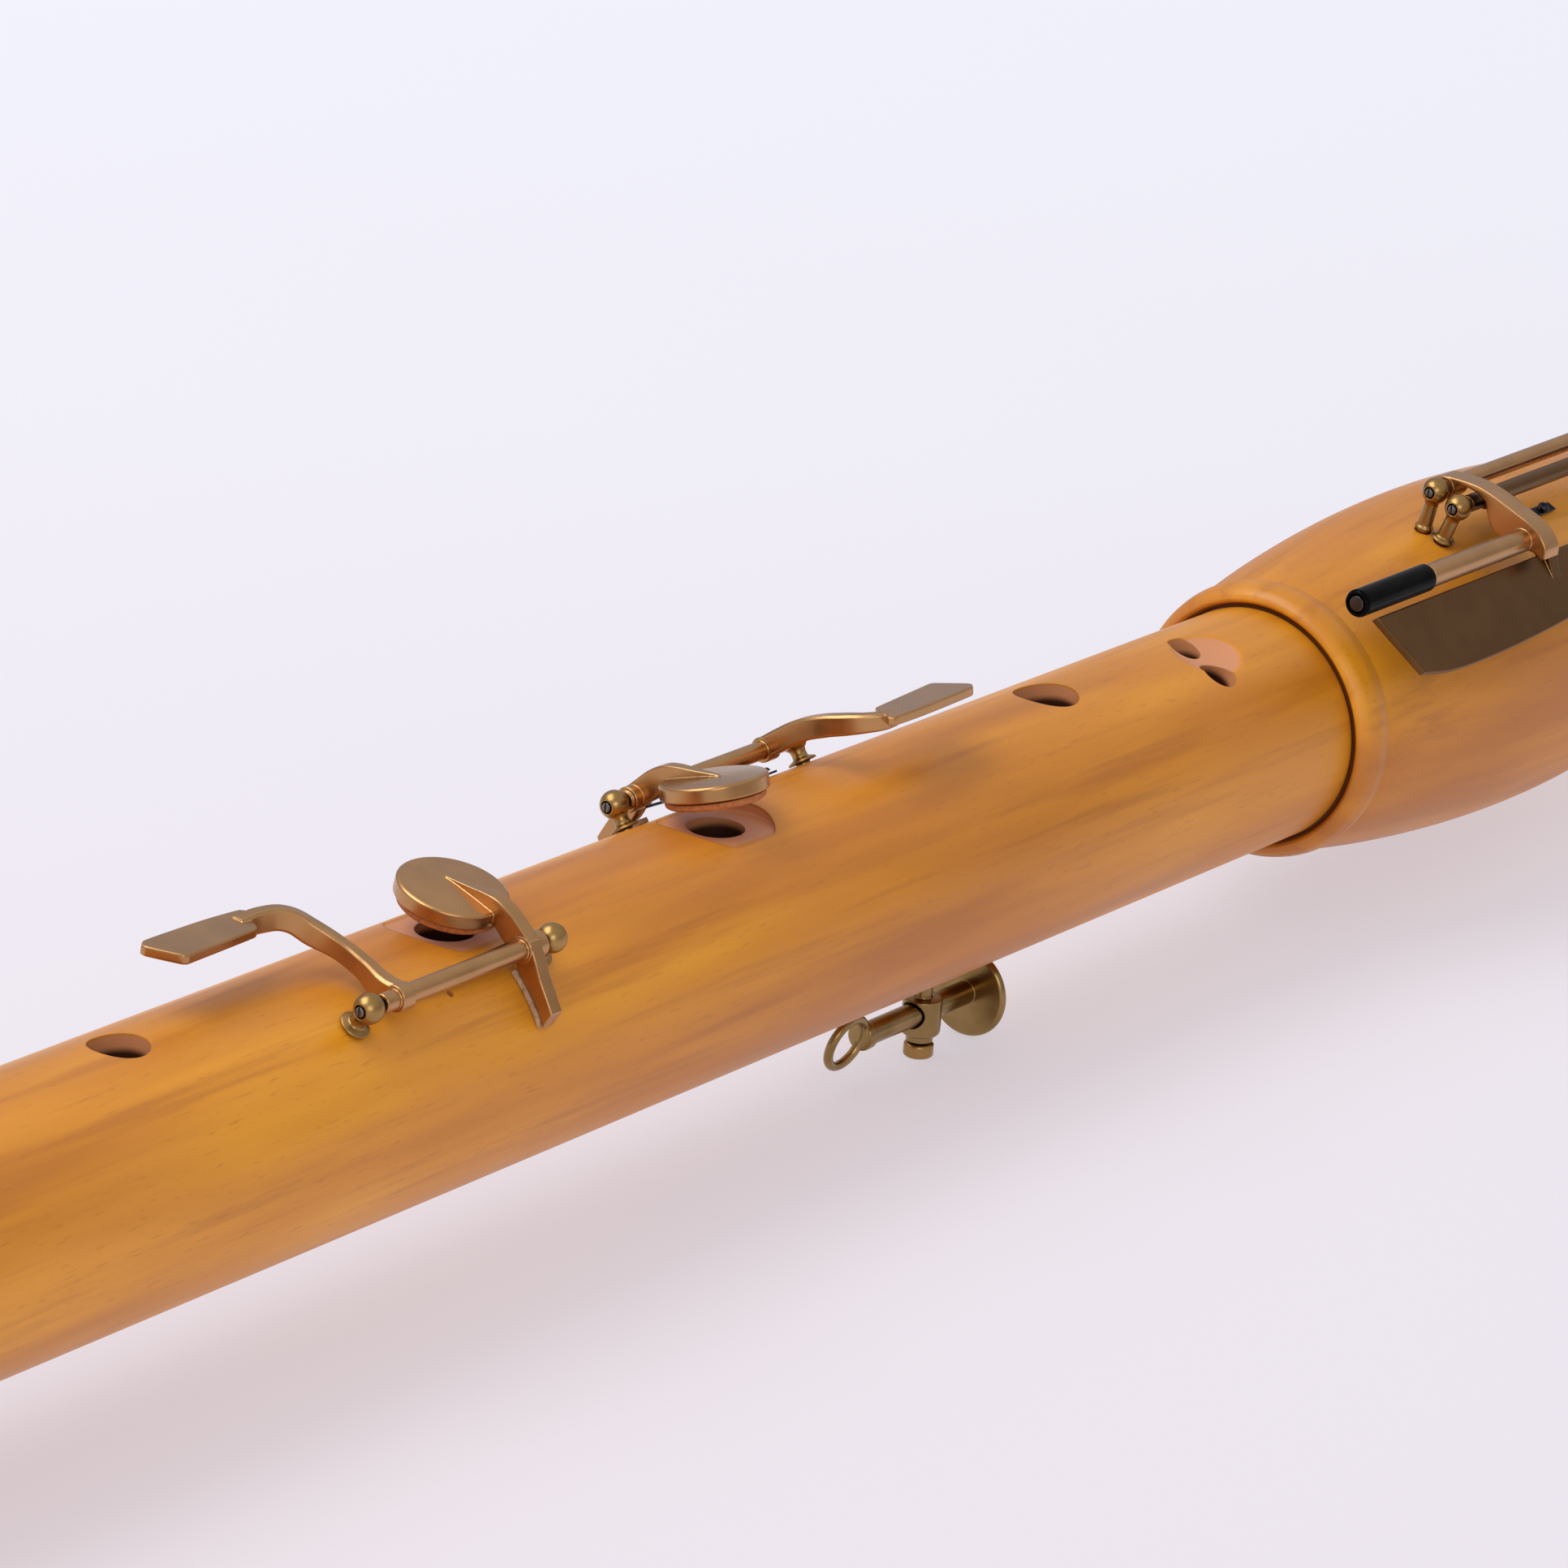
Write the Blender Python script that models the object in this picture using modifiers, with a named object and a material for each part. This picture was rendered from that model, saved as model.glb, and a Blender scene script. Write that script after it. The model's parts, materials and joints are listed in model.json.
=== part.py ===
"""A bass recorder in F, lying on its back with the finger holes up.

X runs down the instrument from the cap to the foot, -Y is the side with the touches of the
foot keys, and Z points up through the finger holes. The instrument is drawn round its own
axis with X = 0 at the mouth of the foot joint's socket, and is then set down on the floor.
All lengths are metres and all angles degrees.
"""
import math

import bmesh
import bpy
from mathutils import Matrix, Vector

# General fits
GAP = 0.0003
MERGE = 0.00001
SIDES_WOOD = 36
SIDES_BORE = 28
SIDES_SMALL = 10

# Middle joint
BODY_RADIUS = 0.0205
MIDDLE_LENGTH = 0.417
MIDDLE_BORE_TOP = 0.0125
MIDDLE_BORE_FOOT = 0.0108
TENON_RADIUS = 0.0164
TENON_LENGTH = 0.0320
TENON_CORK_LENGTH = 0.0220
CORK_THICKNESS = 0.0012
CORK_PROUD = 0.0002
SHOULDER_INSET = 0.0015

# Finger holes: distance up from the foot socket, and radius
HOLE_1_UP, HOLE_1_RADIUS = 0.3620, 0.0044
HOLE_2_UP, HOLE_2_RADIUS = 0.2943, 0.0046
HOLE_3_UP = 0.2210
HOLE_4_UP = 0.1543
HOLE_5_UP, HOLE_5_RADIUS = 0.0643, 0.0055
HOLE_6_LARGE_UP, HOLE_6_LARGE, HOLE_6_LARGE_ANGLE = 0.0266, 0.0033, 28.0
HOLE_6_SMALL_UP, HOLE_6_SMALL, HOLE_6_SMALL_ANGLE = 0.0249, 0.0029, 3.0
THUMB_HOLE_UP, THUMB_HOLE_RADIUS = 0.3850, 0.0042
KEYED_HOLE_RADIUS = 0.0046
SCOOP_UP, SCOOP_ANGLE = 0.0237, 14.0
SCOOP_HALF_LENGTH, SCOOP_HALF_WIDTH, SCOOP_DEPTH = 0.0074, 0.0088, 0.0016
SPRING_NOTCH_UP, SPRING_NOTCH_ANGLE, SPRING_NOTCH_RADIUS = 0.2350, 38.0, 0.0006

# Turned swellings at both sockets
RIM_RADIUS = 0.02445
RIM_LENGTH = 0.0072
NECK_RADIUS = 0.02385
MOUTH_CHAMFER = 0.0012
BULGE_RADIUS = 0.0295
BULGE_FROM_SOCKET = 0.0660
WAIST_FROM_SOCKET = 0.1600

# Foot joint
FOOT_LENGTH = 0.2190
FOOT_BORE_RADIUS = 0.0100
FOOT_WAIST_RADIUS = 0.0225
FOOT_BEAD_RADIUS = 0.0243
BELL_RADIUS = 0.0272

# Head joint, block and cap
HEAD_LENGTH = 0.3300
HEAD_STEM_RADIUS = 0.0232
HEAD_BORE_RADIUS = 0.0140
CAP_TENON_LENGTH = 0.0200
CAP_TENON_RADIUS = 0.0180
BLOCK_LENGTH = 0.0750
WINDWAY_FLOOR = 0.0123
WINDWAY_WIDTH = 0.0120
WINDOW_LENGTH = 0.0110
WINDOW_WIDTH = 0.0150
LABIUM_RAMP = 0.0250
LABIUM_EDGE = 0.0004
CAP_LENGTH = 0.0600
CAP_RADIUS = 0.0300
CAP_TOP_RADIUS = 0.0110
CAP_CHAMBER_DEPTH = 0.0110

# Crook
CROOK_RADIUS = 0.0035
CROOK_BORE_RADIUS = 0.0025
CROOK_CORK_RADIUS = 0.0047
CROOK_CORK_LENGTH = 0.0140
CROOK_STEM = 0.0140
CROOK_BEND_RADIUS = 0.0380
CROOK_BEND_ANGLE = 150.0
CROOK_TAIL = 0.0550
CROOK_DROOP = 15.4

# Hinges of all keys
BALL_RADIUS = 0.00235
TUBE_RADIUS = 0.00155
HUB_RADIUS = 0.0021
ROD_RADIUS = 0.0008
SLOT_WIDTH, SLOT_DEPTH = 0.0003, 0.0004
POST_NECK_RADIUS = 0.0013
POST_FLANGE_RADIUS = 0.0024
NEAR_FLANGE_RADIUS, FAR_FLANGE_RADIUS = 0.0021, 0.00165
POST_FLANGE_HEIGHT = 0.0008
POST_SHANK_RADIUS = 0.0012
POST_SHANK_LENGTH = 0.0045

# Keys over holes 3 and 4
HINGE_ANGLE = 36.3
HINGE_HEIGHT = 0.0045
KEY_3_SPAN = 0.0425
KEY_4_SPAN = 0.0465

# Each touch: its shift along the key, its tilt across the key and its rise towards its end
KEY_3_TOUCH = (0.0, 3.0, 2.6)
KEY_4_TOUCH = (0.0068, 6.0, 0.0)

# The neck of each touch, from the touch to the hinge: height of its middle, and its depth
KEY_3_NECK = ((0.0081, 0.0034), (0.0085, 0.0035), (0.0083, 0.0035), (0.0062, 0.0036),
              (0.0044, 0.0031), (0.0026, 0.0032), (0.0005, 0.0040), (0.0001, 0.0038))
KEY_4_NECK = ((0.0083, 0.0026), (0.0081, 0.0028), (0.0077, 0.0030), (0.0071, 0.0034),
              (0.0062, 0.0036), (0.0047, 0.0037), (0.0022, 0.0038), (0.0002, 0.0036))
CUP_FROM_POST = 0.0068
CUP_ARM_FROM_POST = 0.0061
CUP_RADIUS = 0.0087
CUP_TOP = 0.00305
CUP_THICKNESS = 0.0026
PAD_RADIUS = 0.0080
PAD_THICKNESS = 0.0015
SEAT_RADIUS = 0.0093
BAR_THICKNESS = 0.0026
BAR_DEPTH = 0.0036
RIB_TIP = 0.0008
RIB_REACH = 0.0019
RIB_CUT_MARGIN, RIB_CUT_REACH, RIB_CUT_HEIGHT = 0.0010, 0.0030, 0.0100
TOUCH_THICKNESS = 0.0016
TOUCH_LEVEL = 0.00935
DRAWN_OPEN = 12.5
KEY_3_OPEN = 12.5
KEY_4_OPEN = 15.1
STOP_CORK_THICKNESS = 0.0008
STOP_CORK_LENGTH = 0.0092

# Keys of the foot joint
NEAR_AXIS_ANGLE, NEAR_AXIS_RHO = 20.2, 0.0359
FAR_AXIS_ANGLE, FAR_AXIS_RHO = 11.9, 0.0363
FOOT_POST_ALONG = 0.0415
NEAR_POST_END = 0.1215
FAR_POST_END = 0.1600
NEAR_CUP_ALONG = 0.1100
FAR_CUP_ALONG = 0.1480
FOOT_CUP_ANGLE = 50.0
FOOT_HOLE_RADIUS = 0.0050
NEAR_OPEN = 7.5
FAR_OPEN = 5.5
ROLLER_ARM_ALONG = 0.0466
ROLLER_ARM_WIDTH = 0.0046
PLATE_ARM_ALONG = 0.0514
PLATE_RHO = 0.0360
PLATE_ANGLE = 53.2
PLATE_THICKNESS = 0.0015
ROLLER_Y, ROLLER_Z = -0.0240, 0.0300
ROLLER_RADIUS = 0.00245
ROLLER_LENGTH = 0.0219
ROLLER_START = -0.0089
SLEEVE_RADIUS = 0.0021
ROLLER_PIN_RADIUS = 0.0007
ROLLER_PIN_HEAD = 0.0014

# Leaf springs and their screws
LEAF_WIDTH = 0.0020
LEAF_THICKNESS = 0.00035
LEAF_SCREW_RADIUS = 0.0011
LEAF_SCREW_SHANK = 0.0005
LEAF_SCREW_LENGTH = 0.0030

# Thumb rest
REST_UP = 0.0925
REST_AXIS_DEPTH = 0.0283
REST_SLEEVE_RADIUS = 0.0033
REST_SLEEVE_TOP = 0.0258
REST_SLEEVE_BOTTOM = 0.0322
REST_STEM_RADIUS = 0.0015
REST_FLANGE_RADIUS = 0.0032
REST_SHANK_LENGTH = 0.0060
REST_ROD_RADIUS = 0.0020
REST_ROD_START = -0.0172
REST_ROD_END = 0.0130
REST_RING_RADIUS = 0.0044
REST_WIRE_RADIUS = 0.0008
REST_RING_TURN = 15.0
REST_PLATE_RADIUS = 0.0076
REST_PLATE_THICKNESS = 0.0016
LOCK_HEAD_RADIUS = 0.0025
LOCK_HEAD_BOTTOM = 0.0361
LOCK_SHANK_RADIUS = 0.0011

# Colours: red, green, blue, roughness, metallic
MAPLE = ("maple", (0.56, 0.24, 0.052), 0.38, 0.0)
CEDAR = ("cedar", (0.42, 0.19, 0.09), 0.60, 0.0)
CORK = ("cork", (0.45, 0.27, 0.13), 0.85, 0.0)
BRONZE = ("bronze", (0.42, 0.25, 0.12), 0.34, 1.0)
BRASS = ("brass", (0.46, 0.31, 0.11), 0.30, 1.0)
STEEL = ("steel", (0.42, 0.42, 0.42), 0.30, 1.0)
LEATHER = ("leather", (0.46, 0.16, 0.05), 0.70, 0.0)
ROLLER_BLACK = ("roller_black", (0.01, 0.01, 0.011), 0.12, 0.0)

for old in list(bpy.data.objects):
    bpy.data.objects.remove(old, do_unlink=True)

PARTS = bpy.data.collections.new("bass_recorder")
CUTTERS = bpy.data.collections.new("cutters_and_tools")
bpy.context.scene.collection.children.link(PARTS)
bpy.context.scene.collection.children.link(CUTTERS)


# Small modelling tools

def material(finish):
    """Return the Principled material of a finish, made once."""
    name, colour, roughness, metallic = finish
    found = bpy.data.materials.get(name)
    if found:
        return found
    made = bpy.data.materials.new(name)
    made.use_nodes = True
    shader = made.node_tree.nodes["Principled BSDF"]
    shader.inputs["Base Color"].default_value = (*colour, 1.0)
    shader.inputs["Roughness"].default_value = roughness
    shader.inputs["Metallic"].default_value = metallic
    return made


def frame(name, parent=None, location=(0, 0, 0), turn=Matrix.Identity(4)):
    """Return an empty that carries pieces."""
    empty = bpy.data.objects.new(name, None)
    empty.empty_display_size = 0.005
    CUTTERS.objects.link(empty)
    empty.parent = parent
    empty.matrix_local = Matrix.Translation(Vector(location)) @ turn
    return empty


def about_x(angle):
    return Matrix.Rotation(math.radians(angle), 4, "X")


def placed(name, mesh, parent, finish, matrix=Matrix.Identity(4)):
    """Return an object of the instrument, or a hidden tool if it has no finish."""
    piece = bpy.data.objects.new(name, mesh)
    if finish:
        PARTS.objects.link(piece)
        mesh.materials.append(material(finish))
    else:
        CUTTERS.objects.link(piece)
        piece.hide_render = True
        piece.display_type = "WIRE"
    piece.parent = parent
    piece.matrix_local = matrix
    return piece


def smooth(mesh, angle=35.0):
    mesh.shade_smooth()
    mesh.set_sharp_from_angle(angle=math.radians(angle))


def lathe(name, profile, parent, finish, sides=SIDES_SMALL, axis="Z", matrix=Matrix.Identity(4)):
    """Turn a profile of (radius, height) points, given from the top down its outer side.

    A profile that starts and ends on the axis is left open, and any other is closed into a ring.
    """
    shape = bmesh.new()
    points = [shape.verts.new((radius, 0.0, height)) for radius, height in profile]
    edges = [shape.edges.new(pair) for pair in zip(points, points[1:])]
    if profile[0][0] > 0.0:
        edges.append(shape.edges.new((points[-1], points[0])))
    bmesh.ops.spin(shape, geom=points + edges, axis=(0, 0, 1), cent=(0, 0, 0),
                   angle=2 * math.pi, steps=sides, use_merge=True)
    bmesh.ops.remove_doubles(shape, verts=shape.verts, dist=MERGE)
    bmesh.ops.recalc_face_normals(shape, faces=shape.faces)
    mesh = bpy.data.meshes.new(name)
    shape.to_mesh(mesh)
    smooth(mesh)
    lay = Matrix.Rotation(math.pi / 2, 4, "Y") if axis == "X" else Matrix.Identity(4)
    half_step = Matrix.Rotation(math.pi / sides, 4, "Z")
    return placed(name, mesh, parent, finish, matrix @ lay @ half_step)


def cylinder(name, start, end, radius, parent, finish=None, sides=SIDES_SMALL, end_radius=None):
    """Return a round bar between two points."""
    start, end = Vector(start), Vector(end)
    run = end - start
    shape = bmesh.new()
    bmesh.ops.create_cone(shape, cap_ends=True, segments=sides, radius1=radius,
                          radius2=end_radius or radius, depth=run.length)
    turn = run.to_track_quat("Z", "Y").to_matrix().to_4x4()
    half_step = Matrix.Rotation(math.pi / sides, 4, "Z")
    bmesh.ops.transform(shape, matrix=Matrix.Translation((start + end) / 2) @ turn @ half_step,
                        verts=shape.verts)
    mesh = bpy.data.meshes.new(name)
    shape.to_mesh(mesh)
    smooth(mesh)
    return placed(name, mesh, parent, finish)


def box(name, low, high, parent, finish=None):
    """Return a box between two corners."""
    low, high = Vector(low), Vector(high)
    shape = bmesh.new()
    bmesh.ops.create_cube(shape, size=1.0)
    size = high - low
    bmesh.ops.transform(shape, verts=shape.verts,
                        matrix=Matrix.Translation((low + high) / 2) @ Matrix.Diagonal((*size, 1)))
    mesh = bpy.data.meshes.new(name)
    shape.to_mesh(mesh)
    return placed(name, mesh, parent, finish)


def solid_from_curve(name, curve, parent, finish, matrix):
    """Turn a filled or swept curve into a closed mesh."""
    guide = bpy.data.objects.new(name + "_curve", curve)
    CUTTERS.objects.link(guide)
    graph = bpy.context.evaluated_depsgraph_get()
    mesh = bpy.data.meshes.new_from_object(guide.evaluated_get(graph))
    shape = bmesh.new()
    shape.from_mesh(mesh)
    bmesh.ops.remove_doubles(shape, verts=shape.verts, dist=MERGE)
    bmesh.ops.recalc_face_normals(shape, faces=shape.faces)
    shape.to_mesh(mesh)
    bpy.data.objects.remove(guide)
    smooth(mesh)
    return placed(name, mesh, parent, finish, matrix)


def slab(name, outline, thickness, parent, matrix, finish=None, edge=0.0003):
    """Return a flat outline, thick by equal halves to both sides, with its edges eased."""
    curve = bpy.data.curves.new(name, "CURVE")
    curve.dimensions = "2D"
    curve.fill_mode = "BOTH"
    curve.extrude = thickness / 2
    spline = curve.splines.new("POLY")
    spline.points.add(len(outline) - 1)
    for point, (across, up) in zip(spline.points, outline):
        point.co = (across, up, 0.0, 1.0)
    spline.use_cyclic_u = True
    piece = solid_from_curve(name, curve, parent, finish, matrix)
    if edge:
        bevel = piece.modifiers.new("eased edges", "BEVEL")
        bevel.width = edge
        bevel.segments = 1
        bevel.limit_method = "ANGLE"
        bevel.angle_limit = math.radians(60)
    return piece


def upright(along):
    """Return the place of a slab that stands across the instrument, drawn in Y and Z."""
    turn = Matrix(((0, 0, 1, 0), (1, 0, 0, 0), (0, 1, 0, 0), (0, 0, 0, 1)))
    return Matrix.Translation((along, 0, 0)) @ turn


def sweep(name, points, width, depth, parent, finish=None, steps=2, scales=()):
    """Return a bar of oblong section that follows the points with its depth kept upright.

    Where scales are given, there is one for each point, and the section is that many times larger.
    """
    half_width, half_depth = width / 2, depth / 2
    ease = min(half_width, half_depth) * 0.3
    corners = []
    for across, up in ((-1, -1), (1, -1), (1, 1), (-1, 1)):
        if across == up:
            corners.append((across * half_width, up * (half_depth - ease)))
            corners.append((across * (half_width - ease), up * half_depth))
        else:
            corners.append((across * (half_width - ease), up * half_depth))
            corners.append((across * half_width, up * (half_depth - ease)))
    section = bpy.data.curves.new(name + "_section", "CURVE")
    section.dimensions = "2D"
    ring = section.splines.new("POLY")
    ring.points.add(len(corners) - 1)
    for point, (across, up) in zip(ring.points, corners):
        point.co = (across, up, 0.0, 1.0)
    ring.use_cyclic_u = True
    section_object = bpy.data.objects.new(name + "_section", section)
    CUTTERS.objects.link(section_object)
    curve = bpy.data.curves.new(name, "CURVE")
    curve.dimensions = "3D"
    curve.twist_mode = "Z_UP"
    curve.resolution_u = steps
    curve.render_resolution_u = steps
    curve.bevel_mode = "OBJECT"
    curve.bevel_object = section_object
    curve.use_fill_caps = True
    spline = curve.splines.new("BEZIER")
    spline.bezier_points.add(len(points) - 1)
    for knot, place, scale in zip(spline.bezier_points, points, scales or [1.0] * len(points)):
        knot.co = place
        knot.radius = scale
        knot.handle_left_type = "AUTO"
        knot.handle_right_type = "AUTO"
    piece = solid_from_curve(name, curve, parent, finish, Matrix.Identity(4))
    bpy.data.objects.remove(section_object)
    return piece


def cut(piece, *tools):
    for tool in tools:
        step = piece.modifiers.new("cut " + tool.name, "BOOLEAN")
        step.operation = "DIFFERENCE"
        step.object = tool


def fuse(piece, *tools):
    for tool in tools:
        step = piece.modifiers.new("join " + tool.name, "BOOLEAN")
        step.operation = "UNION"
        step.object = tool


def ring_point(rho, angle):
    """Return Y and Z at a distance from the axis, the angle leaning from +Z towards -Y."""
    return -rho * math.sin(math.radians(angle)), rho * math.cos(math.radians(angle))


def ring_outline(points, centre=(0.0, 0.0)):
    """Return an outline in Y and Z, measured from a centre, of (distance, angle) points."""
    made = []
    for rho, angle in points:
        across, up = ring_point(rho, angle)
        made.append((across - centre[0], up - centre[1]))
    return made


def radial_cutter(name, along, angle, radius, inner, outer, sides=20):
    """Return a cutter that runs out from the axis of the instrument at an angle."""
    low, high = ring_point(inner, angle), ring_point(outer, angle)
    return cylinder(name, (along, *low), (along, *high), radius, INSTRUMENT, sides=sides)


INSTRUMENT = frame("instrument_axis")


# Turned outlines shared by the sockets of the head and foot joints

def ease_between(low, high, share):
    """Return a value that leaves low and reaches high without a corner."""
    return low + (high - low) * (0.5 - 0.5 * math.cos(math.pi * share))


def swelling_radius(distance):
    """Return the radius of the swelling at a distance behind its rim."""
    share = (distance - RIM_LENGTH) / (BULGE_FROM_SOCKET - RIM_LENGTH)
    return NECK_RADIUS + (BULGE_RADIUS - NECK_RADIUS) * math.sin(math.pi / 2 * share) ** 0.8


def taper_radius(distance, waist_radius):
    """Return the radius between the fullest point of the swelling and the waist."""
    share = (distance - BULGE_FROM_SOCKET) / (WAIST_FROM_SOCKET - BULGE_FROM_SOCKET)
    return ease_between(BULGE_RADIUS, waist_radius, share)


def foot_radius(along):
    """Return the radius of the foot joint where its keys stand."""
    if along < BULGE_FROM_SOCKET:
        return swelling_radius(along)
    return taper_radius(along, FOOT_WAIST_RADIUS)


def socket_outline(waist_radius):
    """Return (distance, radius) points of the rim, the neck, the swelling and its taper."""
    mouth = BODY_RADIUS + GAP
    points = [(MOUTH_CHAMFER * 0.9, mouth), (0.0, mouth + MOUTH_CHAMFER * 0.9),
              (RIM_LENGTH * 0.06, RIM_RADIUS - 0.0016), (RIM_LENGTH * 0.22, RIM_RADIUS - 0.0006),
              (RIM_LENGTH * 0.58, RIM_RADIUS), (RIM_LENGTH * 0.84, RIM_RADIUS - 0.0003),
              (RIM_LENGTH, NECK_RADIUS)]
    steps = 6
    for step in range(1, steps + 1):
        distance = RIM_LENGTH + (BULGE_FROM_SOCKET - RIM_LENGTH) * (step / steps) ** 1.5
        points.append((distance, swelling_radius(distance)))
    for step in range(1, steps):
        distance = BULGE_FROM_SOCKET + (WAIST_FROM_SOCKET - BULGE_FROM_SOCKET) * step / steps
        points.append((distance, taper_radius(distance, waist_radius)))
    points.append((WAIST_FROM_SOCKET, waist_radius))
    return points


SOCKET_RADIUS = TENON_RADIUS + CORK_PROUD + GAP
SOCKET_DEPTH = SHOULDER_INSET + TENON_LENGTH + GAP
SHOULDER = SHOULDER_INSET - GAP


# Middle joint

def middle_joint():
    """Return the joint that the two hands hold, with its holes bored."""
    tenon_end = SHOULDER + TENON_LENGTH
    cork_start = SHOULDER + (TENON_LENGTH - TENON_CORK_LENGTH) / 2
    cork_end = cork_start + TENON_CORK_LENGTH
    groove = TENON_RADIUS - CORK_THICKNESS
    tenon = [(TENON_RADIUS, tenon_end), (TENON_RADIUS, cork_end), (groove, cork_end),
             (groove, cork_start), (TENON_RADIUS, cork_start), (TENON_RADIUS, SHOULDER),
             (BODY_RADIUS, SHOULDER)]
    top_tenon = [(radius, -MIDDLE_LENGTH - height) for radius, height in reversed(tenon)]
    bore = [(MIDDLE_BORE_TOP, -MIDDLE_LENGTH - tenon_end), (MIDDLE_BORE_FOOT, tenon_end)]
    joint = lathe("middle_joint", tenon + top_tenon + bore, INSTRUMENT, MAPLE, SIDES_WOOD, "X")
    outer = BODY_RADIUS + 0.004
    inner = MIDDLE_BORE_FOOT * 0.6
    plain = (("hole_1", HOLE_1_UP, 0.0, HOLE_1_RADIUS), ("hole_2", HOLE_2_UP, 0.0, HOLE_2_RADIUS),
             ("hole_5", HOLE_5_UP, 0.0, HOLE_5_RADIUS),
             ("thumb_hole", THUMB_HOLE_UP, 180.0, THUMB_HOLE_RADIUS),
             ("hole_6_large", HOLE_6_LARGE_UP, HOLE_6_LARGE_ANGLE, HOLE_6_LARGE),
             ("hole_6_small", HOLE_6_SMALL_UP, HOLE_6_SMALL_ANGLE, HOLE_6_SMALL),
             ("keyed_hole_3", HOLE_3_UP, 0.0, KEYED_HOLE_RADIUS),
             ("keyed_hole_4", HOLE_4_UP, 0.0, KEYED_HOLE_RADIUS))
    scoop = bmesh.new()
    bmesh.ops.create_uvsphere(scoop, u_segments=20, v_segments=10, radius=1.0)
    rise = BODY_RADIUS / 4
    at_surface = math.sqrt(1 - ((rise - SCOOP_DEPTH) / rise) ** 2)
    half_size = (SCOOP_HALF_LENGTH / at_surface, SCOOP_HALF_WIDTH / at_surface, rise, 1.0)
    across, up = ring_point(BODY_RADIUS - SCOOP_DEPTH + rise, SCOOP_ANGLE)
    bmesh.ops.transform(scoop, verts=scoop.verts, matrix=(
        Matrix.Translation((-SCOOP_UP, across, up)) @ about_x(SCOOP_ANGLE)
        @ Matrix.Diagonal(half_size)))
    mesh = bpy.data.meshes.new("hole_6_scoop")
    scoop.to_mesh(mesh)
    cut(joint, placed("hole_6_scoop", mesh, INSTRUMENT, None))
    for name, up_from_foot, angle, radius in plain:
        cut(joint, radial_cutter(name, -up_from_foot, angle, radius, inner, outer))
    cut(joint, radial_cutter("spring_notch", -SPRING_NOTCH_UP, SPRING_NOTCH_ANGLE,
                             SPRING_NOTCH_RADIUS, BODY_RADIUS - 0.0015, outer, 8))
    return joint


def tenon_corks():
    """Wrap each tenon of the middle joint in cork."""
    start = SHOULDER + (TENON_LENGTH - TENON_CORK_LENGTH) / 2 + GAP
    end = start + TENON_CORK_LENGTH - 2 * GAP
    outer = TENON_RADIUS + CORK_PROUD
    inner = TENON_RADIUS - CORK_THICKNESS + GAP
    lathe("lower_tenon_cork", [(outer, end), (outer, start), (inner, start), (inner, end)],
          INSTRUMENT, CORK, SIDES_WOOD, "X")
    top, bottom = -MIDDLE_LENGTH - start, -MIDDLE_LENGTH - end
    lathe("upper_tenon_cork", [(outer, top), (outer, bottom), (inner, bottom), (inner, top)],
          INSTRUMENT, CORK, SIDES_WOOD, "X")


# Foot joint

def foot_joint(parent):
    """Return the foot with its socket, swelling, waist bead and bell."""
    bead = WAIST_FROM_SOCKET + 0.008
    points = socket_outline(FOOT_WAIST_RADIUS)
    points += [(bead - 0.0030, FOOT_WAIST_RADIUS), (bead - 0.0022, FOOT_BEAD_RADIUS - 0.0007),
               (bead, FOOT_BEAD_RADIUS), (bead + 0.0022, FOOT_BEAD_RADIUS - 0.0007),
               (bead + 0.0030, FOOT_WAIST_RADIUS)]
    flare_start, flare_end = bead + 0.008, FOOT_LENGTH - 0.010
    steps = 4
    for step in range(steps + 1):
        share = step / steps
        points.append((flare_start + (flare_end - flare_start) * share,
                       ease_between(FOOT_WAIST_RADIUS, BELL_RADIUS, share)))
    points += [(FOOT_LENGTH - 0.0015, BELL_RADIUS - 0.0004), (FOOT_LENGTH, BELL_RADIUS - 0.0020),
               (FOOT_LENGTH, FOOT_BORE_RADIUS), (SOCKET_DEPTH, FOOT_BORE_RADIUS),
               (SOCKET_DEPTH, SOCKET_RADIUS), (SHOULDER_INSET, SOCKET_RADIUS),
               (SHOULDER_INSET, BODY_RADIUS + GAP)]
    profile = [(radius, distance) for distance, radius in reversed(points)]
    return lathe("foot_joint", profile, parent, MAPLE, SIDES_WOOD, "X")


# Head joint, block, cap and crook

HEAD_END = HEAD_LENGTH + CAP_TENON_LENGTH


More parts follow.
